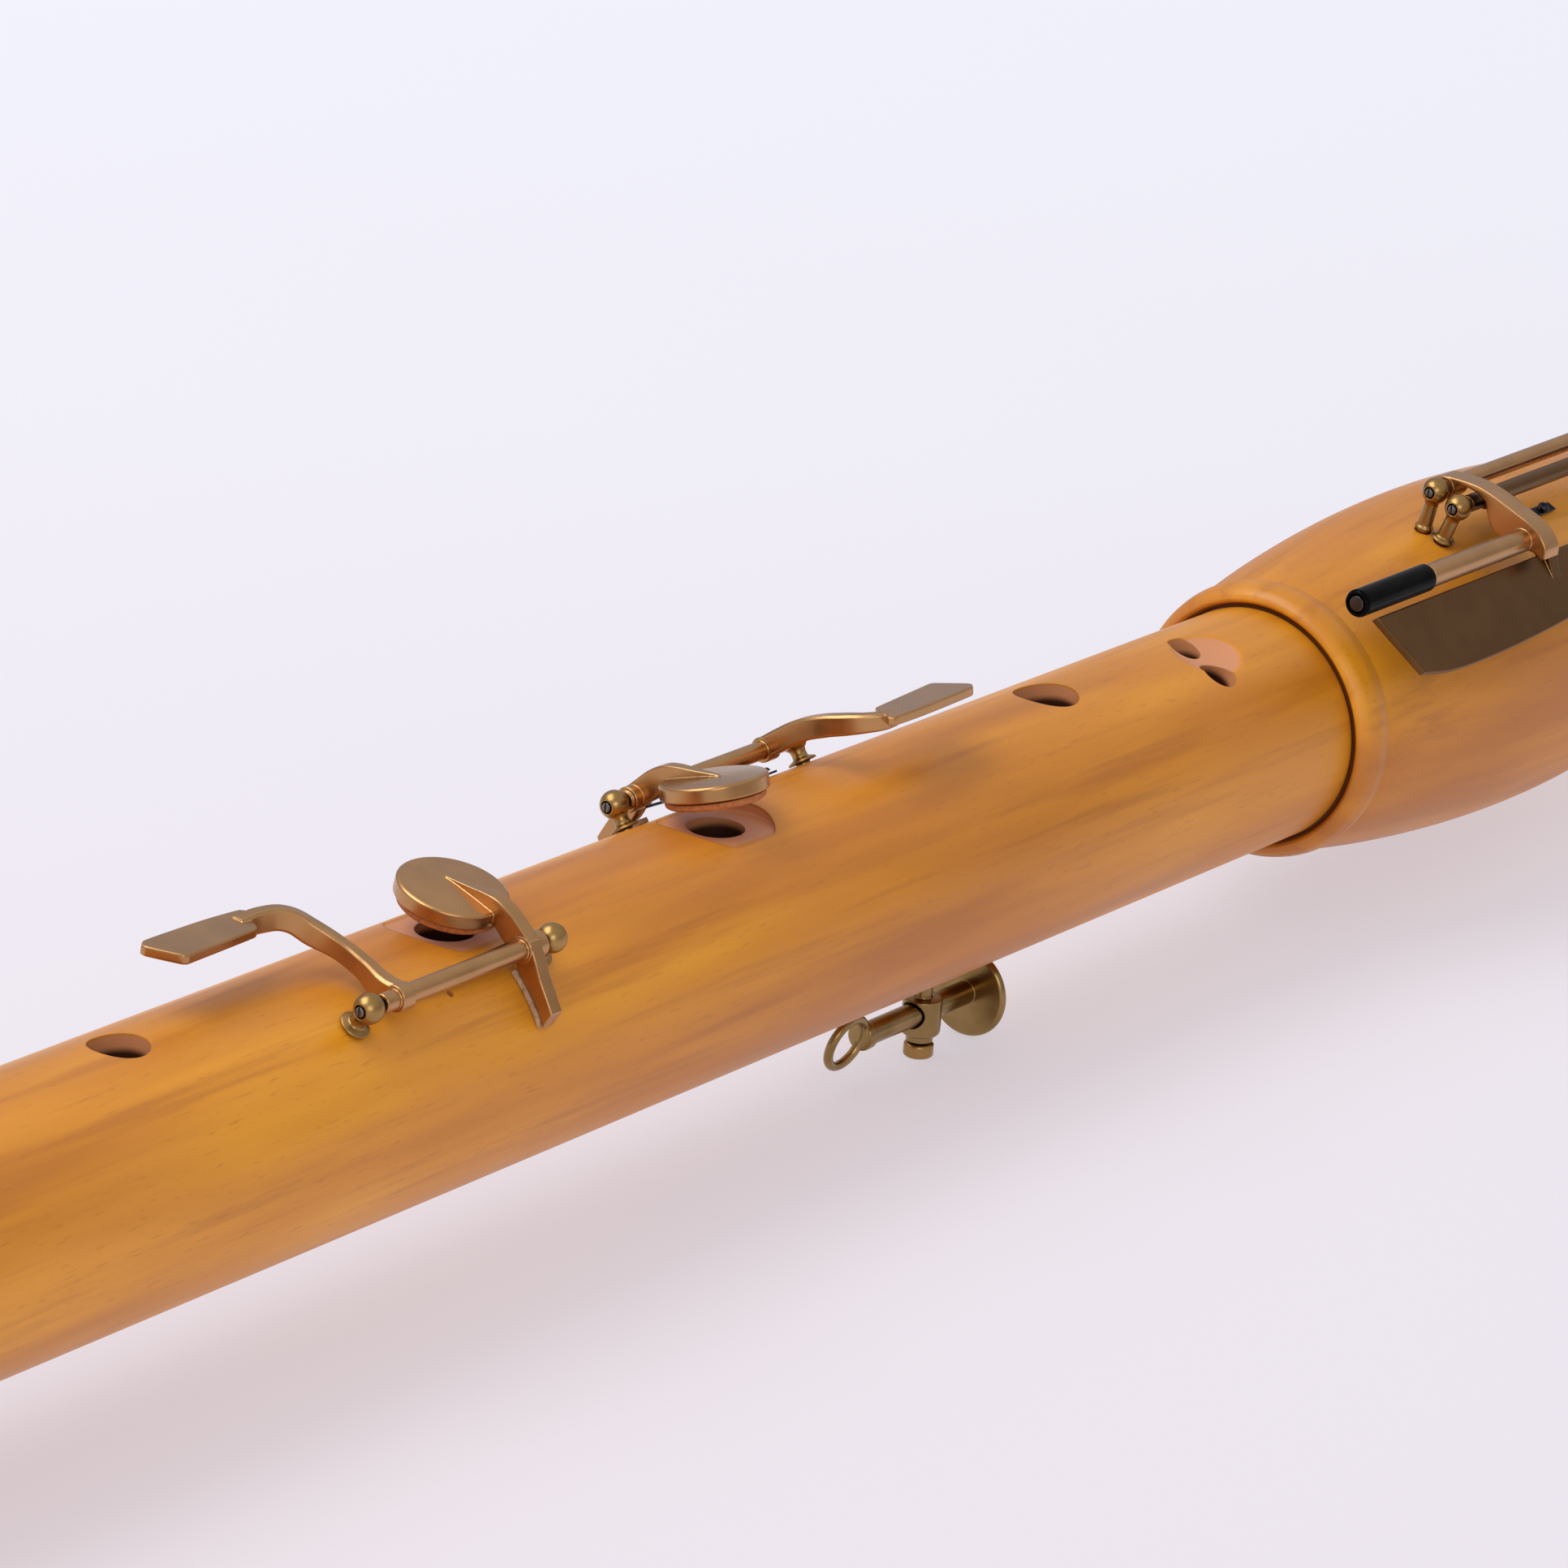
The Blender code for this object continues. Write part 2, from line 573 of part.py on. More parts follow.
def head_joint(parent):
    """Return the head, measured as distances from its socket towards the cap."""
    points = socket_outline(HEAD_STEM_RADIUS)
    collar = HEAD_LENGTH - 0.007
    points += [(collar, HEAD_STEM_RADIUS), (collar + 0.0008, HEAD_STEM_RADIUS + 0.0009),
               (collar + 0.0030, HEAD_STEM_RADIUS + 0.0012),
               (collar + 0.0052, HEAD_STEM_RADIUS + 0.0009), (collar + 0.0060, HEAD_STEM_RADIUS),
               (HEAD_LENGTH, HEAD_STEM_RADIUS - 0.0003)]
    cork_start, cork_end = HEAD_LENGTH + 0.004, HEAD_END - 0.004
    groove = CAP_TENON_RADIUS - CORK_THICKNESS
    points += [(HEAD_LENGTH, CAP_TENON_RADIUS), (cork_start, CAP_TENON_RADIUS),
               (cork_start, groove), (cork_end, groove), (cork_end, CAP_TENON_RADIUS),
               (HEAD_END, CAP_TENON_RADIUS), (HEAD_END, HEAD_BORE_RADIUS),
               (SOCKET_DEPTH, HEAD_BORE_RADIUS), (SOCKET_DEPTH, SOCKET_RADIUS),
               (SHOULDER_INSET, SOCKET_RADIUS), (SHOULDER_INSET, BODY_RADIUS + GAP)]
    profile = [(radius, -distance) for distance, radius in points]
    head = lathe("head_joint", profile, parent, MAPLE, SIDES_WOOD, "X")
    block_face = -(HEAD_END - BLOCK_LENGTH)
    edge = block_face + WINDOW_LENGTH
    roof = HEAD_BORE_RADIUS + LABIUM_EDGE
    outside = HEAD_STEM_RADIUS + 0.002
    window = [(block_face, WINDWAY_FLOOR - 0.002), (edge, WINDWAY_FLOOR - 0.002), (edge, roof),
              (edge + LABIUM_RAMP, outside), (block_face, outside)]
    lying = Matrix(((1, 0, 0, 0), (0, 0, -1, 0), (0, 1, 0, 0), (0, 0, 0, 1)))
    cut(head, slab("window_cutter", window, WINDOW_WIDTH, parent, lying, edge=0.0))
    half = WINDWAY_WIDTH / 2
    cut(head, box("windway_cutter", (-HEAD_END - 0.001, -half, WINDWAY_FLOOR),
                  (block_face + 0.001, half, HEAD_BORE_RADIUS + 0.0005), parent))
    return head


def fipple_block(parent):
    """Return the block that floors the windway, cut flat along its top."""
    radius = HEAD_BORE_RADIUS - GAP
    start, end = -HEAD_END + GAP, -(HEAD_END - BLOCK_LENGTH) - GAP
    block = cylinder("fipple_block", (start, 0, 0), (end, 0, 0), radius, parent, CEDAR, SIDES_BORE)
    cut(block, box("block_top_cutter", (start - 0.001, -radius, WINDWAY_FLOOR - 0.0006),
                   (end + 0.001, radius, radius + 0.002), parent))


def cap_cork(parent):
    start, end = -(HEAD_LENGTH + 0.004) - GAP, -(HEAD_END - 0.004) + GAP
    outer = CAP_TENON_RADIUS + CORK_PROUD
    inner = CAP_TENON_RADIUS - CORK_THICKNESS + GAP
    lathe("cap_cork", [(outer, start), (outer, end), (inner, end), (inner, start)],
          parent, CORK, SIDES_WOOD, "X")


def cap(parent):
    """Return the wooden cap, measured as distances from its rim, with the crook's hole."""
    socket = CAP_TENON_RADIUS + CORK_PROUD + GAP
    fullest = CAP_LENGTH * 0.45
    floor = CAP_TENON_LENGTH + GAP
    roof = floor + CAP_CHAMBER_DEPTH
    hole = CROOK_CORK_RADIUS + GAP
    rim = HEAD_STEM_RADIUS + 0.0016
    points = [(0.0, rim - 0.0010), (0.0009, rim), (0.0045, rim + 0.0003), (0.0080, rim),
              (0.0092, rim - 0.0008)]
    steps = 5
    for step in range(1, steps + 1):
        share = step / steps
        points.append((0.0092 + (fullest - 0.0092) * share,
                       rim - 0.0008 + (CAP_RADIUS - rim + 0.0008)
                       * math.sin(math.pi / 2 * share)))
    for step in range(1, steps + 1):
        share = step / steps
        points.append((fullest + (CAP_LENGTH - 0.003 - fullest) * math.sin(math.pi / 2 * share),
                       CAP_TOP_RADIUS + (CAP_RADIUS - CAP_TOP_RADIUS)
                       * math.cos(math.pi / 2 * share)))
    points += [(CAP_LENGTH, CAP_TOP_RADIUS - 0.0008), (CAP_LENGTH, hole), (roof, hole),
               (roof, HEAD_BORE_RADIUS + 0.001), (floor, HEAD_BORE_RADIUS + 0.001),
               (floor, socket), (0.0, socket)]
    lathe("cap", [(radius, -HEAD_LENGTH - GAP - distance) for distance, radius in points],
          parent, MAPLE, SIDES_WOOD, "X")


def crook(parent):
    """Return the bent brass crook, its plane turned down about the axis of the instrument."""
    start = -(HEAD_LENGTH + CAP_LENGTH - CROOK_CORK_LENGTH)
    bend_start = -(HEAD_LENGTH + CAP_LENGTH + CROOK_STEM)
    route = [(start, 0.0), (bend_start, 0.0)]
    steps = 14
    for step in range(1, steps + 1):
        turn = math.radians(CROOK_BEND_ANGLE) * step / steps
        route.append((bend_start - CROOK_BEND_RADIUS * math.sin(turn),
                      CROOK_BEND_RADIUS * (1 - math.cos(turn))))
    heading = math.radians(CROOK_BEND_ANGLE)
    last = route[-1]
    route.append((last[0] - CROOK_TAIL * math.cos(heading),
                  last[1] + CROOK_TAIL * math.sin(heading)))
    droop = math.radians(CROOK_DROOP)
    places = [(along, side * math.cos(droop), -side * math.sin(droop)) for along, side in route]

    def tube(name, radius, points, finish):
        curve = bpy.data.curves.new(name, "CURVE")
        curve.dimensions = "3D"
        curve.bevel_depth = radius
        curve.bevel_resolution = 3
        curve.use_fill_caps = True
        spline = curve.splines.new("POLY")
        spline.points.add(len(points) - 1)
        for knot, place in zip(spline.points, points):
            knot.co = (*place, 1.0)
        return solid_from_curve(name, curve, parent, finish, Matrix.Identity(4))

    pipe = tube("crook", CROOK_RADIUS, places, BRASS)
    first, final = Vector(places[0]), Vector(places[-1])
    before = Vector(places[-2])
    longer = [tuple(first + Vector((0.002, 0, 0)))] + places[1:-1]
    longer.append(tuple(final + (final - before).normalized() * 0.002))
    cut(pipe, tube("crook_bore", CROOK_BORE_RADIUS, longer, None))
    cork_end = -(HEAD_LENGTH + CAP_LENGTH) - GAP
    inner = CROOK_RADIUS + GAP
    lathe("crook_cork", [(CROOK_CORK_RADIUS, start), (CROOK_CORK_RADIUS, cork_end),
                         (inner, cork_end), (inner, start)], parent, CORK, 20, "X")


# Hinge pieces that every key has

def post(name, along, angle, rho, wood_radius, wood, parent, flange=POST_FLANGE_RADIUS):
    """Stand a ball-headed post on the wood, and bore the wood for its shank."""
    carrier = frame(name + "_frame", parent, (along, 0, 0), about_x(angle))
    foot = wood_radius + GAP * 1.2
    flange_top = foot + POST_FLANGE_HEIGHT
    profile = [(0.0, rho + BALL_RADIUS)]
    first, last, steps = 66.0, -54.0, 5
    for step in range(steps + 1):
        lift = math.radians(first + (last - first) * step / steps)
        profile.append((BALL_RADIUS * math.cos(lift), rho + BALL_RADIUS * math.sin(lift)))
    waist = max(flange_top + 0.0003, rho - BALL_RADIUS * 1.05)
    profile += [(POST_NECK_RADIUS * 0.95, waist), (POST_NECK_RADIUS, flange_top),
                (flange, foot + POST_FLANGE_HEIGHT * 0.4), (flange, foot),
                (POST_SHANK_RADIUS, foot), (POST_SHANK_RADIUS, foot - POST_SHANK_LENGTH),
                (0.0, foot - POST_SHANK_LENGTH)]
    piece = lathe(name, profile, carrier, BRASS)
    hole = ROD_RADIUS + GAP
    reach = BALL_RADIUS + 0.002
    cut(piece, cylinder(name + "_bore", (-reach, 0, rho), (reach, 0, rho), hole, carrier))
    cut(wood, cylinder(name + "_hole", (0, 0, wood_radius - POST_SHANK_LENGTH),
                       (0, 0, wood_radius + 0.003), POST_SHANK_RADIUS + GAP, carrier))


def hinge_rod(name, start, end, axis, parent):
    """Return the steel rod that a key turns on, slotted at both ends."""
    across, up = axis
    rod = cylinder(name, (start, across, up), (end, across, up), ROD_RADIUS, parent, STEEL)
    for label, place in (("_slot_a", start), ("_slot_b", end)):
        cut(rod, box(name + label,
                     (place - SLOT_DEPTH, across - SLOT_WIDTH / 2, up - ROD_RADIUS * 1.5),
                     (place + SLOT_DEPTH, across + SLOT_WIDTH / 2, up + ROD_RADIUS * 1.5), parent))


def leaf_spring(name, angle, route, screw_along, wood, parent):
    """Lay a flat spring from its screw on the wood up to the arm that it lifts."""
    carrier = frame(name + "_frame", parent, turn=about_x(angle))
    points = [(along, 0.0, rho) for along, rho in route]
    leaf = sweep(name, points, LEAF_WIDTH, LEAF_THICKNESS, carrier, STEEL)
    base = route[0][1]
    cut(leaf, cylinder(name + "_eye", (screw_along, 0, base - 0.002), (screw_along, 0, base + 0.002),
                       LEAF_SCREW_SHANK + GAP, carrier))
    seat = base + LEAF_THICKNESS / 2 + GAP
    depth = base - LEAF_THICKNESS / 2 - LEAF_SCREW_LENGTH
    lathe(name + "_screw", [(0.0, seat + 0.0007), (LEAF_SCREW_RADIUS * 0.7, seat + 0.0006),
                            (LEAF_SCREW_RADIUS, seat + 0.0002), (LEAF_SCREW_RADIUS, seat),
                            (LEAF_SCREW_SHANK, seat), (LEAF_SCREW_SHANK, depth), (0.0, depth)],
          carrier, STEEL, 10, matrix=Matrix.Translation((screw_along, 0, 0)))
    cut(wood, cylinder(name + "_screw_hole", (screw_along, 0, depth - GAP),
                       (screw_along, 0, base + 0.002), LEAF_SCREW_SHANK + GAP, carrier))


def cup_and_pad(name, matrix, parent, top, lever):
    """Fuse a key cup to its lever and hang the leather pad under it."""
    rim = 0.0004
    bottom = top - CUP_THICKNESS
    disc = lathe(name + "_cup", [(0.0, top + 0.0003), (CUP_RADIUS * 0.6, top + 0.0001),
                                 (CUP_RADIUS - rim, top - 0.0001), (CUP_RADIUS, top - rim),
                                 (CUP_RADIUS, bottom), (0.0, bottom)],
                 parent, None, 24, matrix=matrix)
    fuse(lever, disc)
    pad_top = bottom - GAP
    pad_low = bottom - PAD_THICKNESS
    lathe(name + "_pad", [(0.0, pad_top), (PAD_RADIUS, pad_top), (PAD_RADIUS, pad_low + 0.0004),
                          (PAD_RADIUS - 0.0005, pad_low), (0.0, pad_low)],
          parent, LEATHER, 24, matrix=matrix)


# Keys over holes 3 and 4

def middle_key(name, head_sign, hole_up, span, touch_place, neck_shape, open_angle, wood):
    """Build one of the two keys that cover a hole; head_sign is 1 with its touch headwards."""
    touch_shift, touch_tilt, touch_rise = touch_place
    angle = HINGE_ANGLE * head_sign
    rho = BODY_RADIUS + HINGE_HEIGHT
    hinge = ring_point(rho, angle)
    cup_along = span - CUP_FROM_POST
    ball_along = -hole_up - cup_along * head_sign
    turned = Matrix.Identity(4) if head_sign > 0 else Matrix.Rotation(math.pi, 4, "Z")
    base = frame(name + "_base", INSTRUMENT, (ball_along, *hinge), turned)
    far_ball = ball_along + span * head_sign
    post(name + "_touch_post", ball_along, angle, rho, BODY_RADIUS, wood, INSTRUMENT)
    post(name + "_cup_post", far_ball, angle, rho, BODY_RADIUS, wood, INSTRUMENT)
    hinge_rod(name + "_hinge_rod", -BALL_RADIUS, span + BALL_RADIUS, (0.0, 0.0), base)

    pivot = frame(name + "_pivot", base, turn=about_x(open_angle - DRAWN_OPEN))
    start, end = BALL_RADIUS + GAP, span - BALL_RADIUS - GAP
    lever = cylinder(name + "_lever", (start, 0, 0), (end, 0, 0), TUBE_RADIUS, pivot, BRONZE)
    arm_x = 0.0070
    cup_arm_x = span - CUP_ARM_FROM_POST
    half = BAR_THICKNESS / 2 + 0.0001
    for label, low, high in (("_touch_hub", arm_x - half, arm_x + half),
                             ("_cup_hub", cup_arm_x - half, end - 0.0004)):
        fuse(lever, cylinder(name + label, (low, 0, 0), (high, 0, 0), HUB_RADIUS, pivot))
    touch = [(-0.0197, 0.0149), (-0.0030, 0.0165), (-0.0016, 0.0178), (-0.0006, 0.0196),
             (0.0014, 0.0222), (0.0004, 0.0230), (-0.0060, 0.0232), (-0.0125, 0.0230),
             (-0.0210, 0.0225), (-0.0226, 0.0215), (-0.0227, 0.0205), (-0.0205, 0.0155)]
    level = Matrix.Translation((touch_shift - 0.0035, 0, TOUCH_LEVEL - TOUCH_THICKNESS / 2 - 0.0190 *
                                math.tan(math.radians(touch_tilt))))
    rise = Matrix.Rotation(math.radians(touch_rise), 4, "Y")
    fuse(lever, slab(name + "_touch", touch, TOUCH_THICKNESS, pivot,
                     level @ rise @ about_x(touch_tilt)))
    route = [(0.0, 0.0202), (0.32, 0.0197), (0.61, 0.0178), (0.82, 0.0148), (0.95, 0.0110),
             (0.99, 0.0070), (1.0, 0.0030), (1.0, 0.0)]
    neck_start = touch_shift - 0.0062
    neck = [(neck_start + (arm_x - neck_start) * share, across, up)
            for (share, across), (up, _) in zip(route, neck_shape)]
    scales = [depth / BAR_DEPTH for _, depth in neck_shape]
    fuse(lever, sweep(name + "_neck", neck, BAR_THICKNESS, BAR_DEPTH, pivot, scales=scales))

    closed = about_x(DRAWN_OPEN)
    cup_middle = -hinge[0] * head_sign
    rib_end = cup_middle + RIB_REACH
    arm = [(-0.0012, 0.0018), (0.0010, 0.0030), (0.0035, 0.0043), (0.0062, 0.0051),
           (0.0085, 0.0050), (0.0120, 0.0043), (rib_end, CUP_TOP + 0.0004),
           (rib_end + 0.0002, CUP_TOP - 0.0008), (0.0070, CUP_TOP - 0.0016),
           (0.0055, 0.0008), (0.0030, -0.0007), (0.0, -0.0018)]
    fuse(lever, slab(name + "_cup_arm", arm, BAR_THICKNESS, pivot, closed @ upright(cup_arm_x)))
    side = BAR_THICKNESS / 2
    rim = cup_middle - CUP_RADIUS + RIB_CUT_MARGIN
    past_tip = rib_end + RIB_CUT_MARGIN
    for label, way in (("_rib_side_a", 1), ("_rib_side_b", -1)):
        spare = [(side * way, rim), (RIB_CUT_REACH * way, rim), (RIB_CUT_REACH * way, past_tip),
                 (RIB_TIP / 2 * way, past_tip), (RIB_TIP / 2 * way, rib_end)]
        cut(lever, slab(name + label, spare, RIB_CUT_HEIGHT, pivot,
                        closed @ Matrix.Translation((cup_arm_x, 0, RIB_CUT_HEIGHT / 2)),
                        edge=0.0))
    cup_and_pad(name, closed @ Matrix.Translation((cup_along, cup_middle, 0)), pivot, CUP_TOP,
                lever)

    lean = angle * head_sign
    cork_rho = BODY_RADIUS + GAP
    tail_low = cork_rho + STOP_CORK_THICKNESS + GAP
    tail = ring_outline([(rho + 0.0022, lean + 0.5), (rho + 0.0010, lean + 6.5),
                         (rho - 0.0001, lean + 13), (rho - 0.0005, lean + 19.5),
                         (rho - 0.0006, lean + 25), (tail_low, lean + 29), (tail_low, lean + 22),
                         (tail_low, lean + 15), (rho - 0.0030, lean + 6), (rho - 0.0018, lean - 1)],
                        ring_point(rho, lean))
    rest_pose = about_x(DRAWN_OPEN - open_angle)
    fuse(lever, slab(name + "_tail", tail, BAR_THICKNESS, pivot, rest_pose @ upright(cup_arm_x)))
    cut(lever, cylinder(name + "_lever_bore", (0, 0, 0), (span, 0, 0), ROD_RADIUS + GAP, pivot))
    high = lean + 28.6
    low = high - math.degrees(STOP_CORK_LENGTH / cork_rho)
    stop = [(cork_rho, low + (high - low) * step / 3) for step in range(4)]
    stop += [(cork_rho + STOP_CORK_THICKNESS, low + (high - low) * step / 3)
             for step in (3, 2, 1, 0)]
    slab(name + "_stop_cork", ring_outline(stop, ring_point(rho, lean)), BAR_THICKNESS * 0.9, pivot,
         rest_pose @ upright(cup_arm_x), CORK, 0.0)

    seat = hinge[1] + CUP_TOP - CUP_THICKNESS - PAD_THICKNESS - GAP
    cut(wood, cylinder(name + "_seat_cutter", (-hole_up, 0, seat),
                       (-hole_up, 0, BODY_RADIUS + 0.004), SEAT_RADIUS, INSTRUMENT, sides=32))
    leaf_base = BODY_RADIUS + GAP + LEAF_THICKNESS / 2
    leaf_angle = angle - 4.5 * head_sign
    leaf_end = rho - 0.0022
    screw_along = ball_along + 0.0120 * head_sign
    route = [(ball_along + 0.0100 * head_sign, leaf_base),
             (ball_along + 0.0160 * head_sign, leaf_base),
             (ball_along + 0.0260 * head_sign, (leaf_base + leaf_end) / 2),
             (ball_along + (cup_arm_x + 0.0005) * head_sign, leaf_end)]
    leaf_spring(name + "_spring", leaf_angle, route, screw_along, wood, INSTRUMENT)


# Foot keys

def foot_key_hinge(name, angle, rho, end, flange, wood, parent):
    """Stand the posts and the rod of a foot key, and return its axis in Y and Z."""
    axis = ring_point(rho, angle)
    for label, along in (("_upper_post", FOOT_POST_ALONG), ("_lower_post", end)):
        highest = max(foot_radius(along - flange), foot_radius(along + flange))
        post(name + label, along, angle, rho, highest, wood, parent, flange)
    hinge_rod(name + "_hinge_rod", FOOT_POST_ALONG - BALL_RADIUS, end + BALL_RADIUS, axis, parent)
    return axis


def foot_lever(name, end, hubs, pivot):
    """Return the tube of a foot key with its hubs, each (place, width), fused on."""
    start = FOOT_POST_ALONG + BALL_RADIUS + GAP
    stop = end - BALL_RADIUS - GAP
    lever = cylinder(name + "_lever", (start, 0, 0), (stop, 0, 0), TUBE_RADIUS, pivot, BRONZE)
    for count, (middle, width) in enumerate(hubs):
        half = width / 2 + 0.0001
        fuse(lever, cylinder(name + "_hub_%d" % count, (middle - half, 0, 0),
                             (middle + half, 0, 0), HUB_RADIUS, pivot))
    return lever


def foot_cup(name, along, axis, hinge_angle, rho, open_angle, lever, pivot, wood, parent):
    """Hang a cup of a foot key over its hole, and sink the hole's flat seat in the wood."""
    wood_radius = foot_radius(along)
    seat = wood_radius - 0.0010
    top = seat + GAP + PAD_THICKNESS + CUP_THICKNESS
    opened = about_x(-open_angle)
    to_axis = Matrix.Translation((0, -axis[0], -axis[1]))
    place = opened @ to_axis @ Matrix.Translation((along, 0, 0)) @ about_x(FOOT_CUP_ANGLE)
    reach = math.degrees(CUP_RADIUS * 0.5 / top)
    rim = math.degrees(CUP_RADIUS * 0.72 / top)
    middle = (hinge_angle + FOOT_CUP_ANGLE - rim) / 2
    drop = rho - top
    arm = ring_outline([(rho + 0.0020, hinge_angle - 1), (rho + 0.0004 - 0.15 * drop, hinge_angle + 8),
                        (rho - 0.60 * drop + 0.0016, middle + 3),
                        (top + 0.0020, FOOT_CUP_ANGLE - rim), (top + 0.0014, FOOT_CUP_ANGLE),
                        (top + 0.0004, FOOT_CUP_ANGLE + reach),
                        (top - 0.0008, FOOT_CUP_ANGLE + reach), (top - 0.0014, FOOT_CUP_ANGLE - rim + 3),
                        (rho - 0.75 * drop - 0.0012, middle), (rho - 0.0024 - 0.2 * drop, hinge_angle + 4),
                        (rho - 0.0019, hinge_angle - 1)], axis)
    fuse(lever, slab(name + "_cup_arm", arm, BAR_THICKNESS, pivot, opened @ upright(along)))
    cup_and_pad(name, place, pivot, top, lever)
    cut(wood, radial_cutter(name + "_seat_cutter", along, FOOT_CUP_ANGLE, SEAT_RADIUS, seat,
                            wood_radius + 0.006, 32))
    cut(wood, radial_cutter(name + "_hole_cutter", along, FOOT_CUP_ANGLE, FOOT_HOLE_RADIUS,
                            FOOT_BORE_RADIUS * 0.5, wood_radius + 0.006))


def foot_stop(name, along, axis, hinge_angle, rho, lever, pivot):
    """Fuse the tail that stops a foot key, and glue its cork under it."""
    cork_rho = foot_radius(along - BAR_THICKNESS / 2) + GAP
    tail_low = cork_rho + STOP_CORK_THICKNESS + GAP
    end = hinge_angle - 20.0
    tail = ring_outline([(rho - 0.0019, hinge_angle + 2), (rho - 0.0036, hinge_angle + 1),
                         (tail_low + 0.0012, end + 9), (tail_low, end + 5.5), (tail_low, end),
                         (tail_low + 0.0020, end), (tail_low + 0.0032, end + 8),
                         (rho - 0.0034, hinge_angle - 4.5), (rho - 0.0018, hinge_angle - 2.5)],
                        axis)
    fuse(lever, slab(name + "_tail", tail, BAR_THICKNESS, pivot, upright(along)))
    spread = math.degrees(STOP_CORK_LENGTH / 3 / cork_rho)
    stop = ring_outline([(cork_rho + STOP_CORK_THICKNESS, end + 0.5),
                         (cork_rho + STOP_CORK_THICKNESS, end + 0.5 + spread),
                         (cork_rho, end + 0.5 + spread), (cork_rho, end + 0.5 + spread / 2),
                         (cork_rho, end + 0.5)], axis)
    slab(name + "_stop_cork", stop, BAR_THICKNESS, pivot, upright(along), CORK, 0.0)


def roller_key(wood, parent):
    """Build the far foot key, whose arm crosses the near tube to carry the roller."""
    name = "roller_key"
    axis = foot_key_hinge(name, FAR_AXIS_ANGLE, FAR_AXIS_RHO, FAR_POST_END, FAR_FLANGE_RADIUS,
                          wood, parent)
    pivot = frame(name + "_pivot", parent, (0, *axis))
    hubs = ((ROLLER_ARM_ALONG, ROLLER_ARM_WIDTH), (FAR_CUP_ALONG, BAR_THICKNESS))
    lever = foot_lever(name, FAR_POST_END, hubs, pivot)
    near_top = NEAR_AXIS_RHO + TUBE_RADIUS
    arm = ring_outline([(0.0370, 7.5), (0.0381, 10.0), (0.0390, 15.0), (near_top + 0.0025, 20.5),
                        (0.0404, 25.0), (0.0409, 31.0), (0.0418, 37.0), (0.0420, 41.0),
                        (0.0414, 44.5), (0.0402, 46.3), (0.0393, 46.0), (0.0390, 43.5),
                        (0.0379, 41.3), (0.0365, 39.0), (0.0358, 36.0), (0.0352, 32.0),
                        (0.0362, 28.0), (near_top + 0.0010, 24.5), (near_top + 0.0013, 21.0),
                        (near_top + 0.0011, 17.5), (0.0372, 15.4), (0.0355, 15.0),
                        (0.0342, 12.5), (0.0346, 9.0)], axis)
    fuse(lever, slab(name + "_roller_arm", arm, ROLLER_ARM_WIDTH, pivot,
                     upright(ROLLER_ARM_ALONG)))
    across, up = ROLLER_Y - axis[0], ROLLER_Z - axis[1]
    roller_end = ROLLER_START + ROLLER_LENGTH
    fuse(lever, cylinder(name + "_sleeve", (roller_end + GAP, across, up),
                         (ROLLER_ARM_ALONG + 0.0004, across, up), SLEEVE_RADIUS, pivot))
    foot_cup(name, FAR_CUP_ALONG, axis, FAR_AXIS_ANGLE, FAR_AXIS_RHO, FAR_OPEN, lever, pivot, wood,
             parent)
    foot_stop(name, FAR_CUP_ALONG, axis, FAR_AXIS_ANGLE, FAR_AXIS_RHO, lever, pivot)
    cut(lever, cylinder(name + "_lever_bore", (FOOT_POST_ALONG, 0, 0), (FAR_POST_END, 0, 0),
                        ROD_RADIUS + GAP, pivot))
    cut(lever, cylinder(name + "_pin_bore", (roller_end, across, up),
                        (ROLLER_ARM_ALONG - 0.010, across, up), ROLLER_PIN_RADIUS + GAP, pivot))
    spin = frame("roller_pivot", pivot, (0, across, up))
    head_floor = ROLLER_START + 0.0006
    lathe("roller", [(ROLLER_RADIUS - 0.0003, roller_end), (ROLLER_RADIUS, roller_end - 0.0003),
                     (ROLLER_RADIUS, ROLLER_START + 0.0005), (ROLLER_RADIUS - 0.0004, ROLLER_START),
                     (ROLLER_PIN_HEAD + GAP, ROLLER_START),
                     (ROLLER_PIN_HEAD + GAP, head_floor + GAP),
                     (ROLLER_PIN_RADIUS + GAP, head_floor + GAP),
                     (ROLLER_PIN_RADIUS + GAP, roller_end)], spin, ROLLER_BLACK, 20, "X")
    pin_end = ROLLER_ARM_ALONG - 0.0100 - GAP
    lathe("roller_pin", [(0.0, pin_end), (ROLLER_PIN_RADIUS, pin_end),
                         (ROLLER_PIN_RADIUS, head_floor),
                         (ROLLER_PIN_HEAD, head_floor),
                         (ROLLER_PIN_HEAD, ROLLER_START), (0.0, ROLLER_START)],
          spin, STEEL, 14, "X")
    leaf_base = foot_radius(0.1250) + GAP + LEAF_THICKNESS / 2
    leaf_spring(name + "_spring", 25.0,
                [(0.1255, leaf_base), (0.1310, leaf_base), (0.1390, leaf_base + 0.0008),
                 (FAR_CUP_ALONG + 0.0005, leaf_base + 0.0018)], 0.1282, wood, parent)


